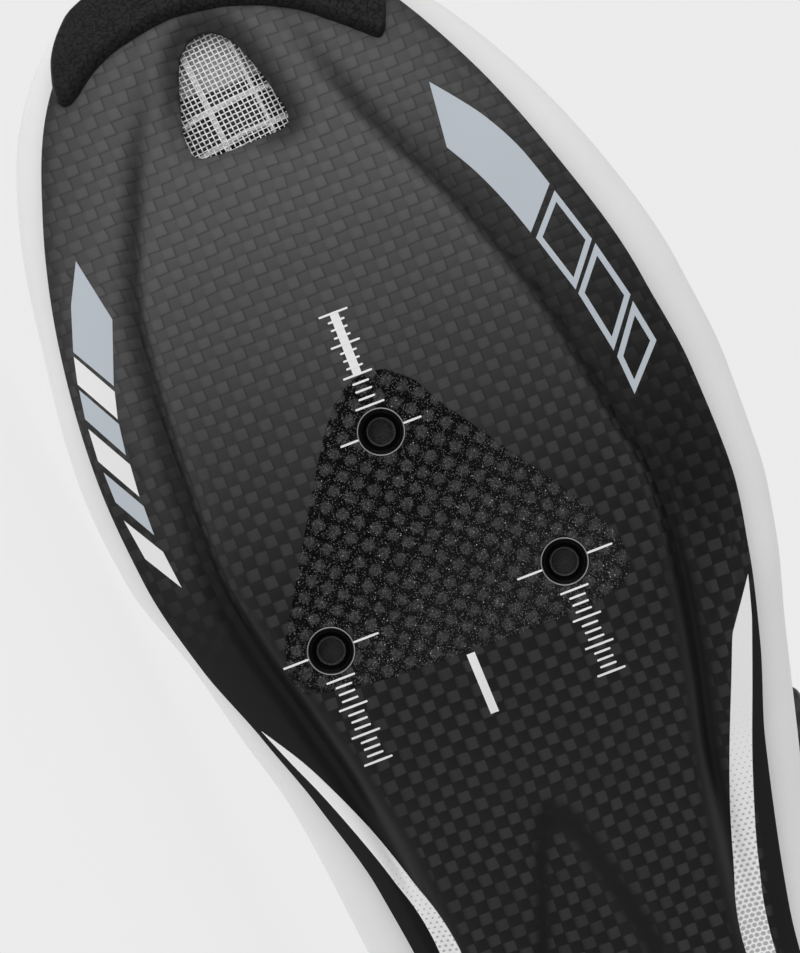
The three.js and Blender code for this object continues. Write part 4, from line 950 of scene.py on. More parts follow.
def halftone_material():
    """White ink with a halftone: staggered grey dots about 1 mm apart, none at the tip and larger to the heel."""
    material, tree, bsdf = start_material("Halftone_Ink", Roughness=0.5, Specular_IOR_Level=0.3)
    flat = add(tree, "UVMap", uv_map="UVMap")
    turn = {"Vector": flat, "Angle": math.radians(-8)}
    turned_by = add(tree, "VectorRotate", turn, rotation_type="Z_AXIS")
    cells = add(tree, "VectorMath", {0: turned_by, 1: (1 / 1.15, 1 / 0.9, 0)}, operation="MULTIPLY")
    apart = add(tree, "SeparateXYZ", [cells])
    row = add(tree, "Math", [apart.outputs[1]], operation="FLOOR")
    staggered = add(tree, "Math", [row, 0.5, apart.outputs[0]], operation="MULTIPLY_ADD")
    inside = [add(tree, "Math", [value], operation="FRACT") for value in (staggered, apart.outputs[1])]
    cell = add(tree, "CombineXYZ", inside)
    far = add(tree, "VectorMath", {0: cell, 1: (0.5, 0.5, 0)}, operation="DISTANCE").outputs["Value"]
    size = remap(tree, add(tree, "SeparateXYZ", [flat]).outputs[1], 133, 94, 0.0, 0.41)
    dot = remap(tree, add(tree, "Math", [far, size], operation="SUBTRACT"), -0.09, 0.07, 1, 0)
    tree.links.new(blend(tree, dot, linear("#fafafa"), linear("#b6b6b6")), bsdf.inputs["Base Color"])
    return material


class SHOE_OT_prints(bpy.types.Operator):
    """Print the cleat scales, the stripe blocks and the halftone wedges on the sole"""
    bl_idname = "shoe.prints"
    bl_label = "Sole prints"

    def execute(self, context):
        white = ink_material("White_Ink", "#f7f7f7")
        grey = ink_material("Grey_Ink", "#c3cbd3")
        seat(new_object("cleat_scales", cleat_scales(), [white]), "outsole")
        blocks = [print_strip(a, b, 14, 12, PRINT_THICKNESS) for a, b in STRIPES_WHITE]
        seat(new_object("white_blocks", join(blocks), [white]), "outsole")
        blocks = []
        for a, b in STRIPES_GREY:
            bend = monotone if len(a) > 3 else straight
            blocks.append(print_strip(a, b, 14, 12, PRINT_THICKNESS, bend))
        for corners in OUTLINED_BLOCKS:
            inner = inset_corners(corners, LINE_WIDTH)
            outer = corners + corners[:1]
            ring = np.vstack([inner, inner[:1]])
            blocks.append(print_strip(outer, ring, 10, 2, PRINT_THICKNESS, straight))
        seat(new_object("grey_blocks", join(blocks), [grey]), "outsole")
        blocks = [print_strip(a, b, 18, 10, WEDGE_THICKNESS) for a, b in WEDGES]
        seat(new_object("halftone_wedges", join(blocks), [halftone_material()]), "outsole")
        return {"FINISHED"}


# The grip patch under the cleat

PATCH = (
    (42.6, 4.4), (39, 8.7), (34, 11.3), (22.7, 19), (11.5, 26.6), (5, 30.4), (0.1, 32.5), (-4.5, 32.2),
    (-7, 30.4), (-8.6, 24), (-8.9, 16), (-8.6, 2), (-8.1, -12.8), (-7, -22), (-5.6, -28.4), (-2, -30.2),
    (3.8, -29), (10, -25.2), (17.7, -20.6), (30.1, -13), (36, -9.2), (39.9, -5.8), (42.4, -2.4), (43.2, 1),
)
PATCH_CENTRE = (-2.0, 178.0)


def patch_edge(turns):
    """The closed line through the patch's corners, at shares of a full turn."""
    ring = np.array(PATCH + PATCH[:1])
    lengths = np.concatenate([[0], np.cumsum(np.hypot(*np.diff(ring, axis=0).T))])
    at = (turns % 1.0) * lengths[-1]
    edge = np.stack([np.interp(at, lengths, ring[:, k]) for k in (0, 1)], -1)
    return np.stack([-edge[:, 1], PRINTS_Y + edge[:, 0]], -1)


def place_patch(v, u):
    centre = np.array(PATCH_CENTRE)
    flat = centre + (patch_edge(u) - centre) * v[:, None]
    return on_sole(flat[:, 0], flat[:, 1], 0.06 + 0 * u)


class SHOE_OT_grip_patch(bpy.types.Operator):
    """Lay the grit patch that grips the cleat"""
    bl_idname = "shoe.grip_patch"
    bl_label = "Grip patch"

    def execute(self, context):
        maps = {"UVMap": lambda v, u, p: p[:, :2], "tone": lambda v, u, p: tone_at(p[:, 0], p[:, 1])}
        bm = face_out(sheet(34, 150, place_patch, **maps), (0, 178, 60))
        patch = new_object("grip_patch", bm, [gritted_material()])
        modify(patch, "SOLIDIFY", apply=True, thickness=0.12 * MM, offset=-1)
        cut(patch, bolt_cutter(4.3))
        seat(patch, "outsole")
        return {"FINISHED"}


# The threaded inserts

# Half an insert's section: the bore's floor, the thread, the mouth with its groove, the worn edge and the body.
THREAD = tuple((2.55 if k % 2 == 0 else 2.2, 4.5 - 0.25 * k) for k in range(11))
INSERT_PROFILE = ((0.0, 4.9), (2.6, 4.9)) + THREAD + (
    (2.75, 1.5), (3.35, 0.95), (3.42, 0.6), (3.55, 0.55), (3.6, 0.75), (3.95, 0.5), (4.0, -0.06), (4.17, -0.1),
    (4.2, 0.02), (4.2, 5.3), (0.0, 5.3),
)


class SHOE_OT_inserts(bpy.types.Operator):
    """Turn the three threaded inserts"""
    bl_idname = "shoe.inserts"
    bl_label = "Threaded inserts"

    def execute(self, context):
        # Steel, turned: blackened and shiny, worn bright round the mouth, zinc grey in the thread.
        materials = [
            plain_material("Blackened_Steel", "#1c1c1c", 0.32, grain=0.2, scale=3, depth=0.05, Metallic=0.9),
            plain_material("Turned_Steel_Edge", "#a4a4a4", 0.35, grain=0.9, scale=1.1, depth=0.05, Metallic=0.6),
            plain_material("Zinc_Thread", "#4a4a4a", 0.45, grain=0.9, scale=3.2, depth=0.3, Metallic=0.5),
        ]
        for name, x, y in BOLTS:
            bm = turned(INSERT_PROFILE, 56)
            for face in bm.faces:
                middle = face.calc_center_median()
                radius = math.hypot(middle.x, middle.y)
                if middle.z < 0.03 and 3.97 < radius < 4.21:
                    face.material_index = 1
                elif radius < 2.62 and middle.z < 5:
                    face.material_index = 2
            bmesh.ops.translate(bm, verts=bm.verts, vec=(x, y, 0))
            insert = new_object(name + "_steel", bm, materials)
            soften(insert, 0.05, angle=30)
            seat(insert, "threaded_insert", name)
        return {"FINISHED"}


# The toe vent

# Each rib: its line in plan, half its width and its offset from the last.
VENT_RIBS = (
    (((9.0, 273.6), (8.9, 270.5), (8.2, 264.9), (7.9, 260.6), (7.6, 258.4), (7.2, 253.0)), 0.42, -0.62),
    (((0.6, 273.0), (0.0, 271.3), (-0.4, 266.0), (-0.9, 260.7), (-1.2, 258.1), (-1.5, 253.0)), 0.42, -0.62),
    (((13.6, 261.2), (10.6, 262.0), (7.1, 262.6), (3.1, 263.1), (-0.1, 263.2), (-4.6, 263.0)), 0.48, -0.7),
    (((14.0, 254.6), (9.3, 255.8), (7.4, 256.0), (3.7, 256.7), (-0.2, 256.9), (-5.6, 256.7)), 0.5, -0.7),
    (((14.2, 271.9), (8.8, 271.8), (5.0, 271.2), (2.3, 271.5), (-4.0, 271.9)), 5.4, -2.0),
)


VENT_MIDDLE_X = 4.1
SCREEN_TURN = math.radians(5.5)
SCREEN_OFFSET = -0.25
RIB_THICKNESS = 0.9


def under_toe(x, y, offset):
    """A point on the last's underside, moved out by an offset."""
    return last_point(y, angle_at(y, x, False), offset)


def screen_wire(start, heading, side, pitch, phase, radius):
    """One wire of the screen: a tube that passes over and under the wires it crosses."""
    span = np.linspace(-16, 16, 400)
    line = start + span[:, None] * heading
    inside = convex_distance(vent_outline(0.8), line[:, 0], line[:, 1]) < 0
    if inside.sum() < 3:
        return None
    low, high = span[inside][0], span[inside][-1]
    count = max(int((high - low) / pitch * 6), 4)

    def place(v, u):
        along = low + (high - low) * v
        centre = start + along[:, None] * heading
        wave = radius * 0.9 * np.sin(np.pi * (along / pitch + phase))
        around = 2 * np.pi * u
        x, y = (centre + (radius * np.cos(around))[:, None] * side).T
        return under_toe(x, y, SCREEN_OFFSET + wave + radius * np.sin(around))

    wire = sheet(count, 6, place)
    bmesh.ops.holes_fill(wire, edges=wire.edges, sides=6)
    return wire


def place_rib(line, half, deep):
    """Lays a rib along a line in plan, half its width to each side."""
    spread = np.linspace(0, 1, len(line))
    along = np.gradient(line, axis=0)

    def place(v, u):
        x, y = [np.interp(v, spread, line[:, k]) for k in (0, 1)]
        way = np.stack([np.interp(v, spread, along[:, k]) for k in (0, 1)], -1)
        way /= np.linalg.norm(way, axis=1, keepdims=True)
        off = (2 * u - 1) * half
        return under_toe(x + way[:, 1] * off, y - way[:, 0] * off, deep + 0 * u)

    return place


class SHOE_OT_toe_vent(bpy.types.Operator):
    """Weave the vent's wire screen and mould the ribs behind it"""
    bl_idname = "shoe.toe_vent"
    bl_label = "Toe vent"

    def execute(self, context):
        look = context.scene.shoe_finish
        centre = np.array([VENT_MIDDLE_X, (VENT_REAR + VENT_FRONT) / 2])
        lengthwise = np.array([math.sin(SCREEN_TURN), math.cos(SCREEN_TURN)])
        crosswise = np.array([math.cos(SCREEN_TURN), -math.sin(SCREEN_TURN)])
        wires = []
        for k in range(-13, 14):
            for heading, side, turn in ((lengthwise, crosswise, 0), (crosswise, lengthwise, 1)):
                start = centre + side * k * look.wire_pitch
                wires.append(screen_wire(start, heading, side, look.wire_pitch, k % 2 + turn, look.wire_width / 2))
        bm = join([wire for wire in wires if wire])
        bmesh.ops.recalc_face_normals(bm, faces=bm.faces)
        # Stainless wire, drawn and plain woven: bright, with short glints along each wire.
        wire = plain_material("Stainless_Wire", "#f6f6f6", 0.4, Metallic=0.25)
        seat(new_object("vent_wire_cloth", bm, [wire]), "vent_screen", "vent_screen")
        self.ribs()
        return {"FINISHED"}

    def ribs(self):
        """Two ribs along, two bowed ones across, and a deeper plate that closes the front."""
        parts = []
        for line, half, deep in VENT_RIBS:
            plate = half > 2
            part = sheet(26, 12 if plate else 2, place_rib(np.array(line), half, deep))
            for face in part.faces:
                face.material_index = int(plate)
            parts.append(face_out(part, (VENT_MIDDLE_X, VENT_REAR + 10, 60)))
        # Nylon, injection moulded: pale and matt; the deeper plate's greyer copy of it is painted shade.
        nylon = plain_material("Pale_Nylon", "#f6f6f6", 0.5, grain=0.3, scale=1.1, depth=0.2)
        shaded_nylon = plain_material("Shaded_Nylon", "#b6b6b6", 0.6, grain=0.5, scale=0.6, depth=0.2)
        grille = new_object("vent_ribs", join(parts), [nylon, shaded_nylon])
        modify(grille, "SOLIDIFY", thickness=RIB_THICKNESS * MM, offset=-1)
        soften(grille, 0.2)
        seat(grille, "vent_grille", "vent_grille")


# The toe bumper

TOE_CENTRE = (2.0, 246.0)
TOE_CENTRE_Z = 30.0
# Seen from that centre: how far the bumper reaches from it on its inner and its outer side, by degrees.
BUMPER_INNER = np.array([
    (40.4, 40.0), (42.4, 38.8), (46.3, 38.2), (51.1, 38.0), (55.7, 37.6), (60.8, 37.1), (68.8, 36.0),
    (80.9, 34.9), (93.1, 33.4), (105.3, 32.1), (121.6, 31.3), (129.6, 30.9), (136.6, 31.0), (142.1, 31.3),
    (146.6, 31.8), (148.2, 32.3),
])
BUMPER_OUTER = np.array([
    (40.4, 40.2), (41.4, 42.0), (43.4, 43.4), (46.4, 44.9), (49.6, 46.4), (53.4, 47.6), (57.0, 48.4),
    (60.6, 49.0), (70, 48.4), (90, 47.2), (110, 46.4), (125, 45.0), (138.4, 42.6), (142.5, 39.0),
    (145.1, 36.4), (147.4, 34.2), (148.2, 32.5),
])
# How far it stands out from the last: over the sole, over the upper at its edges, and in its middle.
BUMPER_OVER_SOLE, BUMPER_OVER_UPPER, BUMPER_MIDDLE = 2.72, 0.35, 4.9
BUMPER_ROUND = 1.5


def toe_reach(azimuth, slope):
    """The point of the last that is seen in a direction from the toe's centre, by bisection."""
    flat = np.stack([np.cos(slope) * np.cos(azimuth), np.cos(slope) * np.sin(azimuth), np.sin(slope)], -1)
    base = np.array([*TOE_CENTRE, TOE_CENTRE_Z])
    low, high = np.zeros(len(azimuth)), np.full(len(azimuth), 90.0)
    for _ in range(34):
        middle = (low + high) / 2
        p = base + flat * middle[:, None]
        y = np.clip(p[:, 1], 0, LENGTH)
        s = section(y)
        dx, dz = p[:, 0] - s["axis"], p[:, 2] - s["middle"]
        power = np.where(dz < 0, s["square"], TOP_SQUARE)
        half = np.where(dx > 0, s["medial"], s["lateral"])
        tall = np.where(dz > 0, s["up"], s["down"])
        out = np.abs(dx / np.maximum(half, 1e-4)) ** power + np.abs(dz / np.maximum(tall, 1e-4)) ** power
        inside = (out < 1) & (p[:, 1] < LENGTH)
        low, high = np.where(inside, middle, low), np.where(inside, high, middle)
    return base + flat * low[:, None]


def toe_skin(azimuth, slope, offset):
    """A point on the toe seen from its centre, moved out by an offset."""
    point = toe_reach(azimuth, slope)
    across = toe_reach(azimuth + 0.01, slope) - toe_reach(azimuth - 0.01, slope)
    up = toe_reach(azimuth, slope + 0.01) - toe_reach(azimuth, slope - 0.01)
    normal = np.cross(across, up)
    normal /= np.linalg.norm(normal, axis=1, keepdims=True)
    return point + normal * np.asarray(offset)[:, None]


class SHOE_OT_toe_bumper(bpy.types.Operator):
    """Mould the rubber bumper that wraps the toe"""
    bl_idname = "shoe.toe_bumper"
    bl_label = "Toe bumper"

    def execute(self, context):
        bm = face_out(sheet(64, 170, self.wrap()), (*TOE_CENTRE, TOE_CENTRE_Z))
        bumper = new_object("toe_bumper_rubber", bm, [rubber_material()])
        modify(bumper, "SOLIDIFY", thickness=0.8 * MM, offset=-1)
        seat(bumper, "toe_bumper", "toe_bumper")
        return {"FINISHED"}

    def wrap(self):
        """Lays the bumper round the toe, from its inner edge under the sole to its lip on the upper."""
        low_turn, high_turn = np.radians(BUMPER_INNER[[0, -1], 0])
        slopes = np.linspace(-1.45, 0.6, 160)
        knots = low_turn + (high_turn - low_turn) * (1 - np.cos(np.linspace(0, np.pi, 81))) / 2
        turns, tilts = [grid.ravel() for grid in np.meshgrid(knots, slopes, indexing="ij")]
        skin = toe_skin(turns, tilts, 4.2 + 0 * turns).reshape(len(knots), len(slopes), 3)
        start, end = np.zeros(len(knots)), np.zeros(len(knots))
        for k, turn in enumerate(np.degrees(knots)):
            points = skin[k]
            radial = np.hypot(points[:, 0] - TOE_CENTRE[0], points[:, 1] - TOE_CENTRE[1])
            near, far = [monotone(side[:, 0], side[:, 1], turn) for side in (BUMPER_INNER, BUMPER_OUTER)]
            start[k], flat = np.interp([near, far], np.maximum.accumulate(radial[:110]), slopes[:110])
            # At the tip the bumper ends on the upper, along a line that rises to the toe.
            over = points[:, 2] - (19.3 + (points[:, 1] - 257.5) * 17.7 / 43.5)
            high = np.argmax(over > 0)
            share = over[high - 1] / (over[high - 1] - over[high])
            lip = slopes[high - 1] + share * (slopes[high] - slopes[high - 1])
            end[k] = flat + (lip - flat) * ease(66, 84, turn) * (1 - ease(114, 132, turn))

        def place(v, u):
            azimuth = low_turn + (high_turn - low_turn) * (1 - np.cos(np.pi * u)) / 2
            first, last = np.interp(azimuth, knots, start), np.interp(azimuth, knots, end)
            slope = first + (last - first) * v
            rounded = 1.0
            for inside in (v * (last - first), (1 - v) * (last - first), high_turn - azimuth):
                edge = np.clip(inside * 46 / BUMPER_ROUND, 0, 1)
                rounded = rounded * np.sqrt(np.maximum(1 - (1 - edge) ** 2, 0))
            base = BUMPER_OVER_SOLE + (BUMPER_OVER_UPPER - BUMPER_OVER_SOLE) * ease(-0.62, -0.36, slope)
            return toe_skin(azimuth, slope, base + (BUMPER_MIDDLE - base) * rounded)

        return place


# The heel pad

class SHOE_OT_heel_pad(bpy.types.Operator):
    """Mould the heel's walking pad"""
    bl_idname = "shoe.heel_pad"
    bl_label = "Heel pad"

    def execute(self, context):
        half, back, front, corner, hollow, thickness = 21.0, 14.0, 64.0, 8.0, 3.0, 6.5
        outline = [(half * math.cos(a), back + half + half * math.sin(a)) for a in np.linspace(0, -math.pi, 40)]
        outline += [(-half, front - corner), (-half + 2, front - 2.4), (-half + corner, front)]
        reach = half - corner
        for x in np.linspace(-reach, reach, 16)[1:-1]:
            outline.append((x, front - hollow * (1 - (x / reach) ** 2)))
        outline += [(half - corner, front), (half - 2, front - 2.4), (half, front - corner)]
        pad = new_object("heel_pad_rubber", upright(outline, 0.0, thickness), [rubber_material()])
        soften(pad, 1.2, segments=3)
        seat(pad, "heel_pad", "heel_pad")
        return {"FINISHED"}


# The upper

THROAT_REAR, THROAT_FRONT = 0.30 * LENGTH, 0.695 * LENGTH
THROAT_REAR_HALF, THROAT_FRONT_HALF = 15.0, 8.5
LASTED_EDGE = 9.0


def throat_half(y):
    """Half the width of the throat at y: wide at the ankle, round at its front end."""
    end = THROAT_FRONT - THROAT_FRONT_HALF
    share = (y - THROAT_REAR) / (end - THROAT_REAR)
    even = THROAT_REAR_HALF + (THROAT_FRONT_HALF - THROAT_REAR_HALF) * share
    tip = np.sqrt(np.maximum(THROAT_FRONT_HALF**2 - np.maximum(y - end, 0) ** 2, 0))
    return np.where(y < THROAT_REAR, 0, np.where(y > end, tip, even))


def edge_angle(y, side):
    """The section angle of the upper's top edge on one side, where the collar or the throat cuts it."""
    s = section(y)
    height = monotone(COLLAR[:, 0], COLLAR[:, 1], y / LENGTH) * HEEL
    share = np.clip((height - s["middle"]) / np.maximum(s["up"], 1e-6), 0, 1)
    collar = np.arctan2(share, (1 - share**TOP_SQUARE) ** (1 / TOP_SQUARE))
    half = throat_half(y)
    throat = angle_at(y, s["axis"] * 0 + side * half, True)
    throat = throat if side > 0 else np.pi - throat
    throat = np.where(half > 0, throat, np.pi / 2)
    return np.minimum(collar, throat)


def lasting_angle(y, side):
    """The section angle of the lasted edge under the foot."""
    x = np.maximum(sole_half(y, side) - LASTED_EDGE, 0) * end_round(y, 11, LENGTH - 15, 22, 44, 2)
    theta = angle_at(y, table("axis", y) * BALL + side * np.maximum(x, 0.001), False)
    return theta if side > 0 else -np.pi - theta


def upper_rows(v):
    """Rows close together at both ends."""
    round_ends = (1 - np.cos(np.pi * v)) / 2
    return LENGTH * np.clip(0.25 * v + 0.75 * round_ends, 0, 1)


def place_upper(side):
    """Lays one half of the upper, from its lasted edge to its top edge, closed to a point at both ends."""
    def place(v, u):
        y = np.clip(upper_rows(v), 0.01, LENGTH - 0.01)
        low, high = lasting_angle(y, side), edge_angle(y, side)
        alpha = low + (high - low) * u
        theta = alpha if side > 0 else np.pi - alpha
        s = section(y)
        tip = np.stack([s["axis"], y, s["middle"]], -1)
        at_end = (v < 1e-6) | (v > 1 - 1e-6)
        return np.where(at_end[:, None], tip, last_point(y, theta, 0 * u))
    return place


def upper_materials():
    """Coated white microfibre outside, smooth and satin; dark knit on foam inside, which takes the light."""
    return [
        plain_material("White_Microfibre", "#f3f3f3", 0.5, grain=0.25, scale=2.2, Specular_IOR_Level=0.3),
        plain_material("Lining_Knit", "#3c3c3c", 0.9, grain=0.8, scale=1.6, depth=0.3),
    ]


class SHOE_OT_upper(bpy.types.Operator):
    """Stretch the upper over the last"""
    bl_idname = "shoe.upper"
    bl_label = "Upper"

    def execute(self, context):
        bm = join([sheet(190, 84, place_upper(side)) for side in (1, -1)])
        bmesh.ops.remove_doubles(bm, verts=bm.verts, dist=0.02)
        face_out(bm, (0, 150, 40))
        upper = new_object("upper_shell", bm, upper_materials())
        modify(upper, "SOLIDIFY", thickness=WALL * MM, offset=-1, material_offset=1, material_offset_rim=0)
        soften(upper, 0.6, angle=50)
        seat(upper, "upper", "upper")
        return {"FINISHED"}


# The tongue and the insole

TONGUE_REAR, TONGUE_FRONT = 0.352 * LENGTH, 0.735 * LENGTH
TONGUE_REAR_HALF, TONGUE_FRONT_HALF = 25.0, 18.5
TONGUE_DEPTH, TONGUE_LIFT, TONGUE_RIDGES = -2.85, 2.0, 11


def place_tongue(v, u):
    """Lays the tongue under the throat's edges and up into its opening, with ridges across."""
    y = TONGUE_REAR + (TONGUE_FRONT - TONGUE_REAR) * v
    corner = 1 - 0.25 * (1 - ease(0, 0.12, v))
    half = (TONGUE_REAR_HALF + (TONGUE_FRONT_HALF - TONGUE_REAR_HALF) * v) * corner
    x = (1 - 2 * u) * half
    gap = throat_half(y) - 0.8 - np.abs(x)
    lift = TONGUE_LIFT * ease(-0.5, 5.0, gap)
    ridges = 0.5 * np.cos(2 * np.pi * v * TONGUE_RIDGES) * ease(1, 5, gap)
    return last_point(y, angle_at(y, x, True), TONGUE_DEPTH + lift + ridges)


class SHOE_OT_tongue(bpy.types.Operator):
    """Pad the tongue, with channels across it"""
    bl_idname = "shoe.tongue"
    bl_label = "Tongue"

    def execute(self, context):
        bm = face_out(sheet(150, 60, place_tongue), (0, 150, 30))
        # Spacer mesh over foam: pale grey and matt.
        fabric = plain_material("Padded_Mesh", "#c9c9c9", 0.85, grain=0.8, scale=1.4, depth=0.3)
        tongue = new_object("tongue_pad", bm, [fabric])
        modify(tongue, "SOLIDIFY", thickness=2.6 * MM, offset=-1)
        soften(tongue, 1.1, segments=3, angle=50)
        seat(tongue, "tongue", "tongue")
        return {"FINISHED"}


def place_insole(v, u):
    """Lays the insole inside the upper, clear of its walls."""
    start = WALL + GAP + 3
    y = start + (LENGTH - 2 * start) * (0.35 * v + 0.65 * (1 - np.cos(np.pi * v)) / 2)
    s = section(y)
    share = 1 - 2 * u
    x = s["axis"] + share * 0.90 * np.where(share > 0, s["medial"] - 2.4, s["lateral"] - 2.4)
    return last_point(y, angle_at(y, x, False), -WALL - GAP - 2.9 + 0 * u)


class SHOE_OT_insole(bpy.types.Operator):
    """Lay the insole"""
    bl_idname = "shoe.insole"
    bl_label = "Insole"

    def execute(self, context):
        bm = face_out(sheet(110, 40, place_insole), (0, 150, -60))
        # Knit on foam: dark grey, no shine.
        knit = plain_material("Insole_Knit", "#454545", 0.9, grain=0.7, scale=1.3, depth=0.25)
        insole = new_object("insole_foam", bm, [knit])
        modify(insole, "SOLIDIFY", thickness=2.6 * MM, offset=-1)
        soften(insole, 0.6)
        seat(insole, "insole", "insole")
        return {"FINISHED"}


# The lacing

# The lace's knots: shares of the length, of the ball's width and of the guides' height.
LACE = (
    (.410, -.325, .50), (.418, -.265, .50), (.430, -.160, .50), (.447, 0, .44), (.466, .165, .50),
    (.476, .205, .50), (.487, .205, .50), (.497, .165, .50), (.512, 0, .44), (.527, -.160, .50),
    (.537, -.200, .50), (.548, -.200, .50), (.558, -.160, .50), (.573, 0, .44), (.588, .150, .50),
    (.598, .190, .50), (.609, .190, .50), (.619, .150, .50), (.634, 0, .44), (.649, -.145, .50),
    (.655, -.180, .50),
)
LACE_RADIUS = 0.65
GUIDES = (
    ("guide_medial_rear", .4815, .190), ("guide_lateral_rear", .5425, -.185),
    ("guide_medial_front", .6035, .175), ("guide_lateral_front", .652, -.172),
)
# A guide in plan: X runs to the throat, Y along it.
GUIDE_OUTLINE = ((4.5, -7.5), (4.5, 7.5), (-2.25, 7.5), (-4.5, 5.25), (-4.5, -5.25), (-2.25, -7.5))
GUIDE_HEIGHT, GUIDE_SUNK = 3.4, 1.2


def upper_frame(along, across):
    """A matrix that stands a form on the upper: its Z on the surface's normal, its Y toward the toe."""
    y = np.array([along * LENGTH])
    theta = angle_at(y, np.array([across * BALL]), True)
    point = Vector(on_last(y, theta)[0])
    normal = Vector(last_normal(y, theta)[0])
    sideways = Vector((0, 1, 0)).cross(normal).normalized()
    turn = Matrix((sideways, normal.cross(sideways), normal)).transposed()
    return Matrix.Translation(point) @ turn.to_4x4()


class SHOE_OT_lacing(bpy.types.Operator):
    """Run the lace through its guides"""
    bl_idname = "shoe.lacing"
    bl_label = "Lace and guides"

    def execute(self, context):
        self.lace(context)
        # Acetal, injection moulded: black with a fine satin texture.
        acetal = plain_material("Black_Acetal", "#171717", 0.38, grain=0.25, scale=2.5)
        for name, along, across in GUIDES:
            inward = -math.copysign(1, across)
            bm = upright([(inward * x, y) for x, y in GUIDE_OUTLINE], -GUIDE_SUNK, GUIDE_HEIGHT)
            bm.transform(upper_frame(along, across))
            guide = new_object(name + "_shell", bm, [acetal])
            soften(guide, 0.8, segments=3)
            seat(guide, "lace_guide", name)
        return {"FINISHED"}

    def lace(self, context):
        """A round cord through the knots, as a mesh."""
        route = np.array(LACE)
        y = route[:, 0] * LENGTH
        points = last_point(y, angle_at(y, route[:, 1] * BALL, True), route[:, 2] * GUIDE_HEIGHT)
        curve = bpy.data.curves.new("lace", "CURVE")
        curve.dimensions = "3D"
        curve.bevel_depth = LACE_RADIUS * MM
        curve.bevel_resolution = 3
        curve.resolution_u = 10
        curve.use_fill_caps = True
        spline = curve.splines.new("BEZIER")
        spline.bezier_points.add(len(points) - 1)
        for knot, point in zip(spline.bezier_points, points):
            knot.co = TO_ROW @ Vector(point)
            knot.handle_left_type = knot.handle_right_type = "AUTO"
        rope = bpy.data.objects.new("lace_curve", curve)
        context.scene.collection.objects.link(rope)
        mesh = bpy.data.meshes.new_from_object(rope.evaluated_get(context.evaluated_depsgraph_get()))
        bpy.data.objects.remove(rope)
        lace = bpy.data.objects.new("lace_wire", mesh)
        context.scene.collection.objects.link(lace)
        # Stranded steel wire in clear nylon: grey, slightly shiny.
        wire = plain_material("Nylon_Coated_Wire", "#8f8f8f", 0.35, grain=0.6, scale=3, Metallic=0.3)
        mesh.materials.clear()
        mesh.materials.append(wire)
        seat(lace, "lace", "lace")


# The lace dial

DIAL = (.402, -.375)
DIAL_BASE = ((0, -2.5), (14.3, -2.5), (14.5, -2.0), (14.5, 1.6), (13.9, 2.9), (13.2, 3.2), (0, 3.2))
# The knob from its underside to its crown: radius, height and how much of the grip's waves shows.
KNOB = np.array([
    (0, 3.5, 0), (12.65, 3.5, 1), (12.65, 8.1, 1), (11.75, 9.0, 0.7), (10.25, 9.4, 0), (9.45, 8.7, 0),
    (2.45, 8.7, 0), (1.25, 9.2, 0), (0, 9.2, 0),
])
GRIPS, GRIP_DEPTH = 18, 0.35


def place_knob(v, u):
    """Spins the knob's profile round Z, with flat-topped waves round its grip."""
    radius, height, waves = [np.interp(v, np.linspace(0, 1, len(KNOB)), KNOB[:, k]) for k in range(3)]
    turn = 2 * np.pi * u
    radius = radius + GRIP_DEPTH * waves * np.tanh(3 * np.cos(GRIPS * turn)) / np.tanh(3)
    return np.stack([radius * np.cos(turn), radius * np.sin(turn), height], -1)


class SHOE_OT_dial(bpy.types.Operator):
    """Turn the lace dial and its base"""
    bl_idname = "shoe.dial"
    bl_label = "Lace dial"

    def execute(self, context):
        stand = upper_frame(*DIAL)
        acetal = bpy.data.materials["Black_Acetal"]
        base = turned(DIAL_BASE, 72)
        base.transform(stand)
        seat(new_object("dial_base_shell", base, [acetal]), "dial_base", "dial_base")
        bm = face_out(sheet(len(KNOB) - 1, 144, place_knob), (0, 0, 6))
        bm.transform(stand)
        knob = new_object("dial_knob_shell", bm, [acetal])
        soften(knob, 0.2)
        seat(knob, "dial_knob", "dial_knob")
        return {"FINISHED"}


# The stage

# The point that the camera looks at, in shoe millimetres, and the picture's upward direction as shares of the medial
# and the forward direction.
AIM = (-0.3, 190.1, 0.0)
VIEW_UP = (-0.358, 0.934)
# In metres: the width that the picture shows there, the camera's distance and the floor, just under the lowest piece.
FRAME_WIDTH = 0.1391
CAMERA_DISTANCE = 1.0
FLOOR = -0.0013
SENSOR = 36


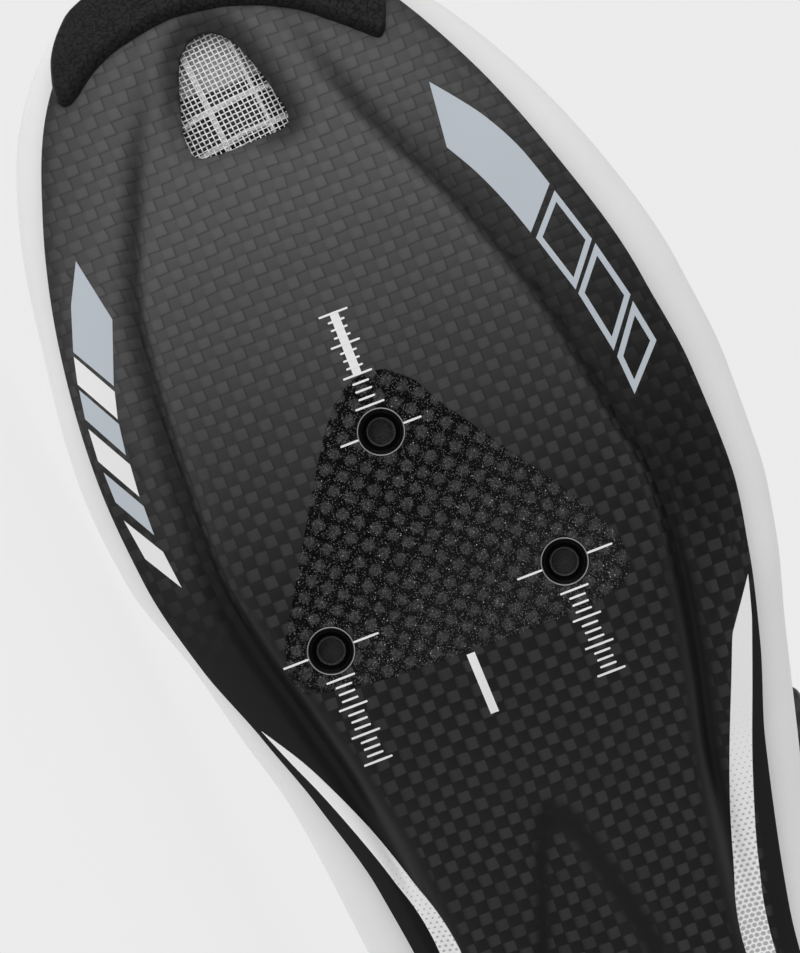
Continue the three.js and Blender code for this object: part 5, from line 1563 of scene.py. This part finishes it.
class SHOE_OT_stage(bpy.types.Operator):
    """Set the floor, the backdrop, the lights and the camera"""
    bl_idname = "shoe.stage"
    bl_label = "Stage"

    def execute(self, context):
        scene = context.scene
        aim = TO_ROW @ Vector(AIM)
        data = bpy.data.cameras.new("camera")
        data.sensor_fit = "HORIZONTAL"
        data.sensor_width = SENSOR
        data.lens = SENSOR * CAMERA_DISTANCE / FRAME_WIDTH
        data.clip_end = 20
        camera = bpy.data.objects.new("camera", data)
        scene.collection.objects.link(camera)
        right = VIEW_UP[0] * FORWARD - VIEW_UP[1] * ACROSS
        top = VIEW_UP[1] * FORWARD + VIEW_UP[0] * ACROSS
        turn = Matrix((right, top, -UP)).transposed()
        camera.matrix_world = Matrix.Translation(aim - UP * CAMERA_DISTANCE) @ turn.to_4x4()
        scene.camera = camera
        scene.view_settings.view_transform = "Standard"
        self.floor()
        self.light(scene)
        return {"FINISHED"}

    def floor(self):
        """A wide pale table that glows a little, so that the shoe's shadow stays soft."""
        bm = bmesh.new()
        bmesh.ops.create_grid(bm, x_segments=8, y_segments=8, size=30)
        bmesh.ops.translate(bm, verts=bm.verts, vec=(0, 0, FLOOR))
        mesh = bpy.data.meshes.new("floor")
        bm.to_mesh(mesh)
        bm.free()
        # Opal acrylic, lit from below: matt, pale and even.
        glow = linear("#e0e0e0")
        material, tree, bsdf = start_material(
            "Opal_Acrylic", Roughness=0.9, Specular_IOR_Level=0.0, Emission_Strength=1.0, Emission_Color=glow,
        )
        cloud = add(tree, "TexNoise", {"Vector": add(tree, "TexCoord").outputs["Object"], "Scale": 1.5})
        tree.links.new(blend(tree, cloud, linear("#616161"), linear("#636363")), bsdf.inputs["Base Color"])
        mesh.materials.append(material)
        floor = bpy.data.objects.new("floor", mesh)
        bpy.context.scene.collection.objects.link(floor)

    def light(self, scene):
        """A soft dome all round, dark where a flat sole would mirror it, with one broad box past the toe."""
        world = bpy.data.worlds.new("studio")
        world.use_nodes = True
        tree = world.node_tree
        toward = add(tree, "TexCoord").outputs["Generated"]
        facing = add(tree, "VectorMath", {0: toward, 1: -UP}, operation="DOT_PRODUCT").outputs["Value"]
        dome = remap(tree, facing, 0.6, 0.92, 0.66, 0.34, smooth=True)
        key = (FORWARD * 0.75 - UP * 0.55 - ACROSS * 0.2).normalized()
        aligned = add(tree, "VectorMath", {0: toward, 1: key}, operation="DOT_PRODUCT").outputs["Value"]
        box = remap(tree, aligned, 0.80, 0.95, 0.0, 1.3, smooth=True)
        level = add(tree, "Math", [dome, box])
        seen = add(tree, "Mix", {0: add(tree, "LightPath").outputs["Is Camera Ray"], 2: level, 3: 1.0})
        background = tree.nodes["Background"]
        background.inputs["Color"].default_value = linear("#ffffff")
        tree.links.new(seen.outputs[0], background.inputs["Strength"])
        scene.world = world


STEPS = (
    SHOE_OT_stage, SHOE_OT_outsole, SHOE_OT_prints, SHOE_OT_grip_patch, SHOE_OT_inserts, SHOE_OT_toe_vent,
    SHOE_OT_toe_bumper, SHOE_OT_heel_pad, SHOE_OT_upper, SHOE_OT_tongue, SHOE_OT_insole, SHOE_OT_lacing,
    SHOE_OT_dial,
)


class SHOE_PT_panel(bpy.types.Panel):
    """The shoe's pieces, in the order in which they are made"""
    bl_idname = "SHOE_PT_panel"
    bl_label = "Road cycling shoe"
    bl_space_type = "VIEW_3D"
    bl_region_type = "UI"
    bl_category = "Shoe"

    def draw(self, context):
        look = context.scene.shoe_finish
        for name in ShoeFinish.__annotations__:
            self.layout.prop(look, name)
        for step in STEPS:
            self.layout.operator(step.bl_idname)


def register():
    for kind in (ShoeFinish, *STEPS, SHOE_PT_panel):
        bpy.utils.register_class(kind)
    bpy.types.Scene.shoe_finish = PointerProperty(type=ShoeFinish)


def unregister():
    del bpy.types.Scene.shoe_finish
    for kind in (SHOE_PT_panel, *reversed(STEPS), ShoeFinish):
        bpy.utils.unregister_class(kind)


def main():
    register()
    for step in STEPS:
        group, name = step.bl_idname.split(".")
        getattr(getattr(bpy.ops, group), name)()


if __name__ == "__main__":
    main()
